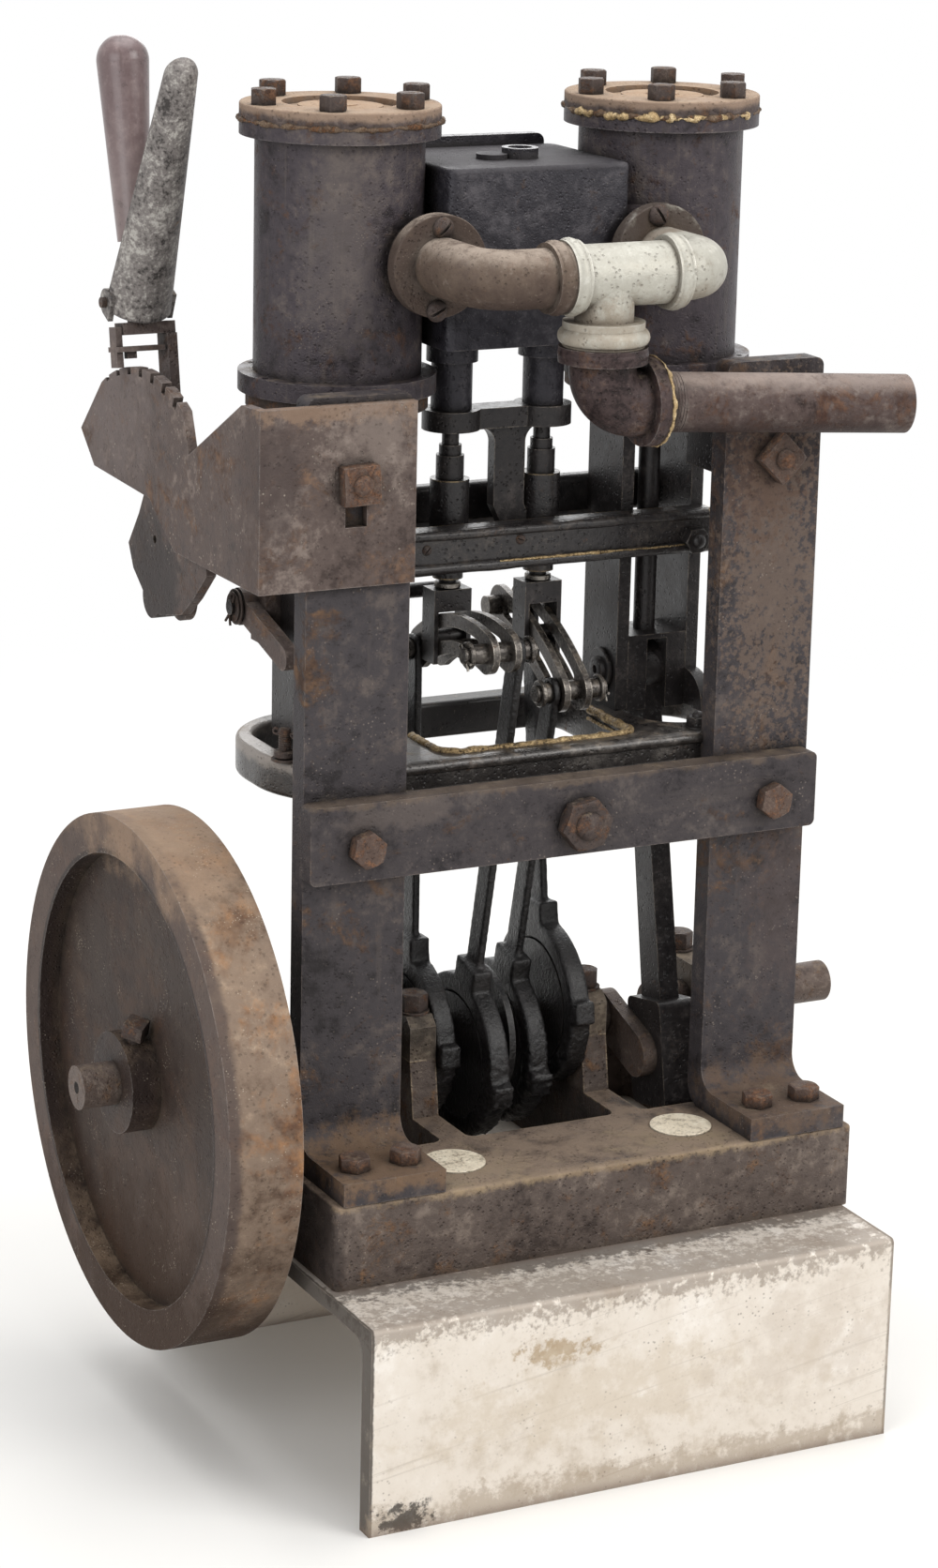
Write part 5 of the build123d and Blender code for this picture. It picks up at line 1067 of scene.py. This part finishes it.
print("bolts and nuts made:", len(boltSets), "sets")

# slotted round-head screws and single bolts, with their seats in millimetres from the datum

plainScrew = {"Turn Spread": 1.3}
screwHeads = {
    "exhaustFlangeScrews": {
        "finish": "boltDark", "facing": forward,
        "seats": ((-69.4, 28.6, 706.3), (-72.4, 28.6, 660.6), (66.9, 28.6, 707.8), (71.0, 28.6, 662.0)),
        "tree": {**plainScrew, "Head Radius": 0.0064, "Head Height": 0.0042, "Slot Width": 0.0016,
                 "Slot Depth": 0.0022, "Seed": 21}},
    "beamScrew": {
        "finish": "boltDark", "facing": forward, "seats": ((2.4, 64.4, 517.9), (-58.0, 64.4, 516.0)),
        "tree": {**plainScrew, "Head Radius": 0.0032, "Head Height": 0.0018, "Slot Width": 0.0009,
                 "Slot Depth": 0.001, "Seed": 22}},
    "chestScrews": {
        "finish": "boltDark", "facing": backward,
        "seats": tuple((x, 148.6, z) for x in (-42, 0, 42) for z in (648, 722)),
        "tree": {**plainScrew, "Head Radius": 0.0052, "Head Height": 0.0034, "Slot Width": 0.0013,
                 "Slot Depth": 0.0018, "Seed": 23}},
}
for name, look in screwHeads.items():
    growOnSeats(name, look, screwTree, 0.0002)

singleBolts = {
    "flywheelSetScrew": {
        "finish": "boltDark", "facing": (0.0, -0.33, 0.944), "seats": ((-231.0, 83.4, 236.6),),
        "tree": {**plainBolt, "Sides": 4, "Head Radius": 0.0086, "Head Height": 0.0095, "Crown Share": 0.9,
                 "Washer Radius": 0.0048, "Washer Height": 0.0035, "Stud Radius": 0.002, "Turn Spread": 0.2,
                 "Seed": 31}},
    "sideFrameBolts": {
        "finish": "gearOil", "facing": forward, "seats": ((118.0, 64.4, 509.0), (-118.0, 64.4, 509.0)),
        "tree": {**plainBolt, "Head Radius": 0.0082, "Head Height": 0.006, "Washer Height": 0.001,
                 "Stud Radius": 0.0045, "Stud Length": 0.0035, "Seed": 32}},
    "ringFrontBolts": {
        "finish": "gearOil", "facing": upward, "seats": ((104.0, 26.0, 404.6), (-104.0, 26.0, 404.6)),
        "tree": {**plainBolt, "Head Radius": 0.0074, "Head Height": 0.0056, "Washer Height": 0.001,
                 "Stud Radius": 0.0038, "Stud Length": 0.003, "Seed": 33}},
}
for name, look in singleBolts.items():
    growOnSeats(name, look, boltTree, 0.0005)
print("screws and single bolts made")

# ragged beads: gaskets at the covers, ribs, a painted edge highlight on the beam, bands on the fittings, sealing
# compound


def ringPath(centre, radius, axis, steps=160, first=0.0, last=360.0):
    axis = Vector(axis).normalized()
    side = Vector(rightward) if abs(axis.x) < 0.5 else Vector(backward)
    other = axis.cross(side)
    whole = abs(last - first) >= 360.0
    count = steps if whole else steps + 1
    points = []
    for step in range(count):
        angle = math.radians(first + (last - first) * step / steps)
        points.append(Vector(centre) + (side * math.cos(angle) + other * math.sin(angle)) * radius)
    edges = [(step, step + 1) for step in range(count - 1)] + ([(count - 1, 0)] if whole else [])
    return points, edges


def openPath(points):
    return [Vector(point) for point in points], [(step, step + 1) for step in range(len(points) - 1)]


def crossPath(first, last, every, y, z):
    return openPath([placeOf(x, y, z) for x in range(first, last + 1, every)])


def eyeFront(inset, height):
    corner, steps = 12.0, 8
    left, right, front = -62.0 + inset, 62.0 - inset, 28.0 + inset
    points = [(left, 70.0, height)]
    for middle, start in ((left + corner, math.pi), (right - corner, 1.5 * math.pi)):
        for step in range(steps + 1):
            angle = start + step * math.pi / 2 / steps
            points.append((middle + corner * math.cos(angle), front + corner + corner * math.sin(angle), height))
    points.append((right, 84.0, height))
    return openPath([placeOf(*point) for point in points])


coverJoint, coverRim = 760.6, 56.6
gasket = {"Radius": 0.0012, "Step": 0.0014, "Swell": 1.3, "Wander": 0.001, "Grain Scale": 240.0, "Sides": 8}
rib = {"Step": 0.004, "Wander": 0.0003, "Grain Scale": 60.0, "Sides": 16}
band = {"Step": 0.0022, "Swell": 0.03, "Wander": 0.0001, "Grain Scale": 60.0, "Sides": 18}
beads = {
    "gasketLeft": {
        "finish": "gasketRust", "path": ringPath(placeOf(-102.8, 93.2, coverJoint), coverRim / 1000, upward),
        "tree": {**gasket, "Seed": 41}},
    "gasketRight": {
        "finish": "gasketRust", "path": ringPath(placeOf(102.8, 93.2, coverJoint), coverRim / 1000, upward),
        "tree": {**gasket, "Seed": 42}},
    "gasketGoldRight": {
        "finish": "gasketGold",
        "path": ringPath(placeOf(102.8, 93.2, coverJoint - 0.3), (coverRim + 0.3) / 1000, upward, 120, 178.0, 300.0),
        "tree": {**gasket, "Radius": 0.0014, "Step": 0.0011, "Swell": 1.7, "Wander": 0.0012, "Grain Scale": 260.0,
                 "Seed": 43}},
    "ringEyeBronze": {
        "finish": "bronzeWornAndHighlight", "path": eyeFront(-1.2, 404.6),
        "tree": {"Radius": 0.0029, "Step": 0.0016, "Swell": 0.35, "Wander": 0.0006, "Grain Scale": 150.0,
                 "Sides": 12, "Seed": 44}},
    "beamLowRib": {
        "finish": "beamOil", "path": crossPath(-128, 128, 8, 64.2, 504.4),
        "tree": {**rib, "Radius": 0.0034, "Swell": 0.1, "Seed": 47}},
    "beamTopRib": {
        "finish": "beamOil", "path": crossPath(-128, 128, 8, 64.6, 523.8),
        "tree": {**rib, "Radius": 0.003, "Swell": 0.1, "Seed": 48}},
    # painted highlight: a thin gold bead along the beam's lower rib, standing for the light caught on its edge
    "beamEdgeHighlight": {
        "finish": "bronzeWornAndHighlight", "path": crossPath(-12, 112, 4, 61.6, 506.6),
        "tree": {"Radius": 0.0007, "Step": 0.0015, "Swell": 1.0, "Wander": 0.0004, "Grain Scale": 130.0, "Sides": 8,
                 "Seed": 49}},
    "ringEyeLip": {
        "finish": "bronzeWornAndHighlight", "path": eyeFront(0.4, 399.6),
        "tree": {"Radius": 0.0014, "Step": 0.0016, "Swell": 0.9, "Wander": 0.001, "Grain Scale": 170.0, "Sides": 8,
                 "Seed": 45}},
    "ringFrontTopRib": {
        "finish": "ringIron", "path": crossPath(-104, 104, 8, 15.8, 401.4),
        "tree": {**rib, "Radius": 0.0036, "Swell": 0.08, "Seed": 52}},
    "ringFrontLowRib": {
        "finish": "ringIron", "path": crossPath(-104, 104, 8, 15.6, 386.4),
        "tree": {**rib, "Radius": 0.0033, "Swell": 0.08, "Seed": 53}},
    "teeBandLeft": {
        "finish": "teeGalvanised", "path": ringPath(placeOf(-19.5, -27.0, 685.0), 0.0172, rightward),
        "tree": {**band, "Radius": 0.0045, "Seed": 60}},
    "teeBandRight": {
        "finish": "teeGalvanised", "path": ringPath(placeOf(44.5, -27.0, 685.0), 0.0172, rightward),
        "tree": {**band, "Radius": 0.0045, "Seed": 61}},
    "elbowBandLeft": {
        "finish": "elbowRust", "path": ringPath(placeOf(-29.0, -27.0, 685.0), 0.0158, rightward),
        "tree": {**band, "Radius": 0.005, "Seed": 62}},
    "teeBranchBand": {
        "finish": "teeGalvanised", "path": ringPath(placeOf(3.0, -27.0, 651.4), 0.0206, upward),
        "tree": {**band, "Radius": 0.0052, "Seed": 63}},
    "elbowLowBandTop": {
        "finish": "elbowLowIron", "path": ringPath(placeOf(3.0, -27.0, 641.6), 0.021, upward),
        "tree": {**band, "Radius": 0.0045, "Seed": 64}},
    "elbowLowBandEnd": {
        "finish": "elbowLowIron", "path": ringPath(placeOf(31.6, -27.0, 613.0), 0.0209, rightward),
        "tree": {**band, "Radius": 0.0045, "Seed": 65}},
    "elbowSealant": {
        "finish": "gasketGold", "path": ringPath(placeOf(35.6, -27.0, 613.0), 0.025, rightward),
        "tree": {"Radius": 0.0009, "Step": 0.0013, "Swell": 0.9, "Wander": 0.0006, "Grain Scale": 260.0, "Sides": 8,
                 "Seed": 46}},
}
for name, look in beads.items():
    points, edges = look["path"]
    growPiece(name, look, pointMesh(name, points, edges=edges), beadTree, smoothAngle=80.0)
print("beads made:", len(beads))

# threads on the pipe and on the ring's pin

pipeFrom, pipeTo = Vector(placeOf(28.0, -27.0, 613.0)), Vector(placeOf(187.0, -50.0, 606.0))
pipeAlong = (pipeTo - pipeFrom).normalized()
threads = {
    "pipeThread": {
        "finish": "pipeRust", "seat": pipeFrom + pipeAlong * 0.0085, "axis": pipeAlong,
        "tree": {"Turns": 8.0, "Radius": 0.0163, "Length": 0.0132, "Crest": 0.00095}},
    "ringPinThread": {
        "finish": "boltDark", "seat": Vector(placeOf(-152.5, 50.0, 412.0)), "axis": Vector(upward),
        "tree": {"Turns": 9.0, "Radius": 0.0034, "Length": 0.0095, "Crest": 0.00032}},
}
for name, look in threads.items():
    points = pointMesh(name, [look["seat"]], [look["axis"]], [0.0])
    growPiece(name, look, points, threadTree, smoothAngle=20.0)

# turned pieces: washers, pin ends and collars, each a profile of (along, radius) in metres round its axis


def washerProfile(inner, outer, thick, edge=0.0003):
    return ((0.0, inner), (0.0, outer - edge), (edge, outer), (thick - edge, outer), (thick, outer - edge),
            (thick, inner))


def pinProfile(radius, long, edge=0.0006):
    return ((0.0, 0.0), (0.0, radius), (long - edge, radius), (long, radius - edge), (long, 0.0))


linkPins = (
    (-47.8, 26.0, 462.0, leftward), (-47.8, 112.0, 446.0, leftward),
    (47.8, 50.0, 428.0, rightward), (47.8, 125.0, 464.0, rightward),
    (11.8, 50.0, 428.0, leftward), (-11.8, 26.0, 462.0, rightward))
linkCollar, linkPinEnd = washerProfile(0.002, 0.008, 0.0028, 0.0006), pinProfile(0.0052, 0.0052)
crosspinProfile = (
    (0.0, 0.0), (0.0, 0.013), (0.0016, 0.013), (0.0022, 0.0124), (0.0022, 0.008), (0.0044, 0.0074),
    (0.0048, 0.0068), (0.0048, 0.0026), (0.0034, 0.0022), (0.0034, 0.0))
plugProfile = ((0.0, 0.0), (0.0, 0.01), (0.001, 0.0092), (0.001, 0.003), (0.0004, 0.0))
locknutProfile = washerProfile(0.0051, 0.0078, 0.0034, 0.0006)
turnedPieces = {
    "linkPinCollars": {
        "finish": "linkSteel",
        "parts": [(placeOf(x, y, z), facing, profile) for profile in (linkCollar, linkPinEnd)
                  for x, y, z, facing in linkPins]},
    "crossShaftWasher": {
        "finish": "boltDark",
        "parts": [(placeOf(-149.2, 127.0, 477.0), leftward, washerProfile(0.0046, 0.0105, 0.0014)),
                  (placeOf(-150.8, 127.0, 477.0), leftward, washerProfile(0.0046, 0.0088, 0.0012))]},
    "crosspinEnds": {
        "finish": "gearOil",
        "parts": [(placeOf(side * 74.9, 93.2, 427.0), (-side, 0.0, 0.0), crosspinProfile) for side in (-1, 1)]},
    "ringPin": {
        "finish": "boltDark",
        "parts": [(placeOf(-152.5, 50.0, 404.6), upward, pinProfile(0.0034, 0.019)),
                  (placeOf(-152.5, 50.0, 404.8), upward, washerProfile(0.0034, 0.0078, 0.0014)),
                  (placeOf(-152.5, 50.0, 406.4), upward, washerProfile(0.0034, 0.0062, 0.0044, 0.0008))]},
    "valveRodLocknuts": {
        "finish": "pinSteel",
        "parts": [(placeOf(x, 93.2, 486.2), upward, locknutProfile) for x in (-29.8, 29.8)]},
    "coverPlug": {
        "finish": "coverIron",
        "parts": [(placeOf(x, 93.2, 767.9), upward, plugProfile) for x in (-102.8, 102.8)]},
}
for name, look in turnedPieces.items():
    finishPiece(name, turnedMesh(name, look["parts"]), look["finish"], smoothAngle=40.0)
print("turned pieces made")

# split pins, each an eye and two spread legs of one wire

splitWire = {
    "Radius": 0.0008, "Step": 0.0009, "Swell": 0.0, "Wander": 0.0, "Grain Scale": 100.0, "Sides": 8, "Seed": 51}
splitPins = {
    "crossShaftSplitPin": {
        "finish": "boltDark", "at": (-152.9, 127.0, 477.0), "along": (0, 0.35, -0.94), "across": (0, 0.94, 0.35),
        "eye": 0.0022, "reach": 0.0115, "spread": 0.0034, "tree": splitWire},
    "ringSplitPin": {
        "finish": "boltDark", "at": (-152.5, 50.0, 420.5), "along": (0.6, -0.8, -0.1), "across": (0.1, 0.0, 1.0),
        "eye": 0.0018, "reach": 0.0085, "spread": 0.0026, "tree": splitWire},
    "leftLinkSplitPin": {
        "finish": "pinSteel", "at": (-51.6, 26.0, 462.0), "along": (0, -0.75, -0.66), "across": (0, 0.66, -0.75),
        "eye": 0.0018, "reach": 0.009, "spread": 0.0028, "tree": splitWire},
    "leftLinkRearSplitPin": {
        "finish": "pinSteel", "at": (-51.6, 112.0, 446.0), "along": (0, -0.5, 0.86), "across": (0, 0.86, 0.5),
        "eye": 0.0018, "reach": 0.009, "spread": 0.0028, "tree": splitWire},
    "rightLinkSplitPin": {
        "finish": "pinSteel", "at": (51.6, 50.0, 428.0), "along": (0, -0.85, -0.5), "across": (0, 0.5, -0.85),
        "eye": 0.0018, "reach": 0.009, "spread": 0.0028, "tree": splitWire},
}


def splitPin(look):
    at, along, across = Vector(placeOf(*look["at"])), Vector(look["along"]), Vector(look["across"])
    along, across = along.normalized(), across.normalized()
    eye, reach, spread = look["eye"], look["reach"], look["spread"]
    gap, neckShare, shortLeg = 0.0004, 0.45, 0.92
    eyeSteps, eyeFrom, eyeTurn = 8, -60.0, 300.0
    neck = at + along * reach * neckShare
    points = [at + along * reach + across * spread, neck + across * gap]
    middle = at - along * (reach * neckShare + eye)
    for step in range(eyeSteps + 1):
        angle = math.radians(eyeFrom + eyeTurn * step / eyeSteps)
        points.append(middle + along * eye * math.cos(angle) + across * eye * math.sin(angle))
    points += [neck - across * gap, at + along * reach * shortLeg - across * spread]
    return openPath(points)


for name, look in splitPins.items():
    points, edges = splitPin(look)
    growPiece(name, look, pointMesh(name, points, edges=edges), beadTree, smoothAngle=80.0)
print("split pins made:", len(splitPins))

# eccentric straps with caked grease: the CAD shape rebuilt as a fine skin, then pushed out in lumps

caked = {"finish": "greaseBlack", "voxel": 0.00125, "passes": 9, "pull": 0.5}
greased = {
    "greasyStrapsForward": {
        **caked, "node": "eccentric_rods_forward",
        "tree": {"Lump Height": 0.0013, "Lump Scale": 300.0, "Seed": 3}},
    "greasyStrapsBackward": {
        **caked, "node": "eccentric_rods_backward",
        "tree": {"Lump Height": 0.0013, "Lump Scale": 300.0, "Seed": 6}},
}
for name, look in greased.items():
    merged = weldedNode(look["node"])
    mesh = bpy.data.meshes.new(name)
    merged.to_mesh(mesh)
    merged.free()
    carrier = addObject(name + "Skin", mesh)
    skin = carrier.modifiers.new("skin", "REMESH")
    skin.mode, skin.voxel_size = "VOXEL", look["voxel"]
    smooth = carrier.modifiers.new("smooth", "SMOOTH")
    smooth.factor, smooth.iterations = look["pull"], look["passes"]
    piece = growPiece(name, look, bakedMesh(carrier), greaseTree, smoothAngle=180.0)
    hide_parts(look["node"])
print("greased straps made")
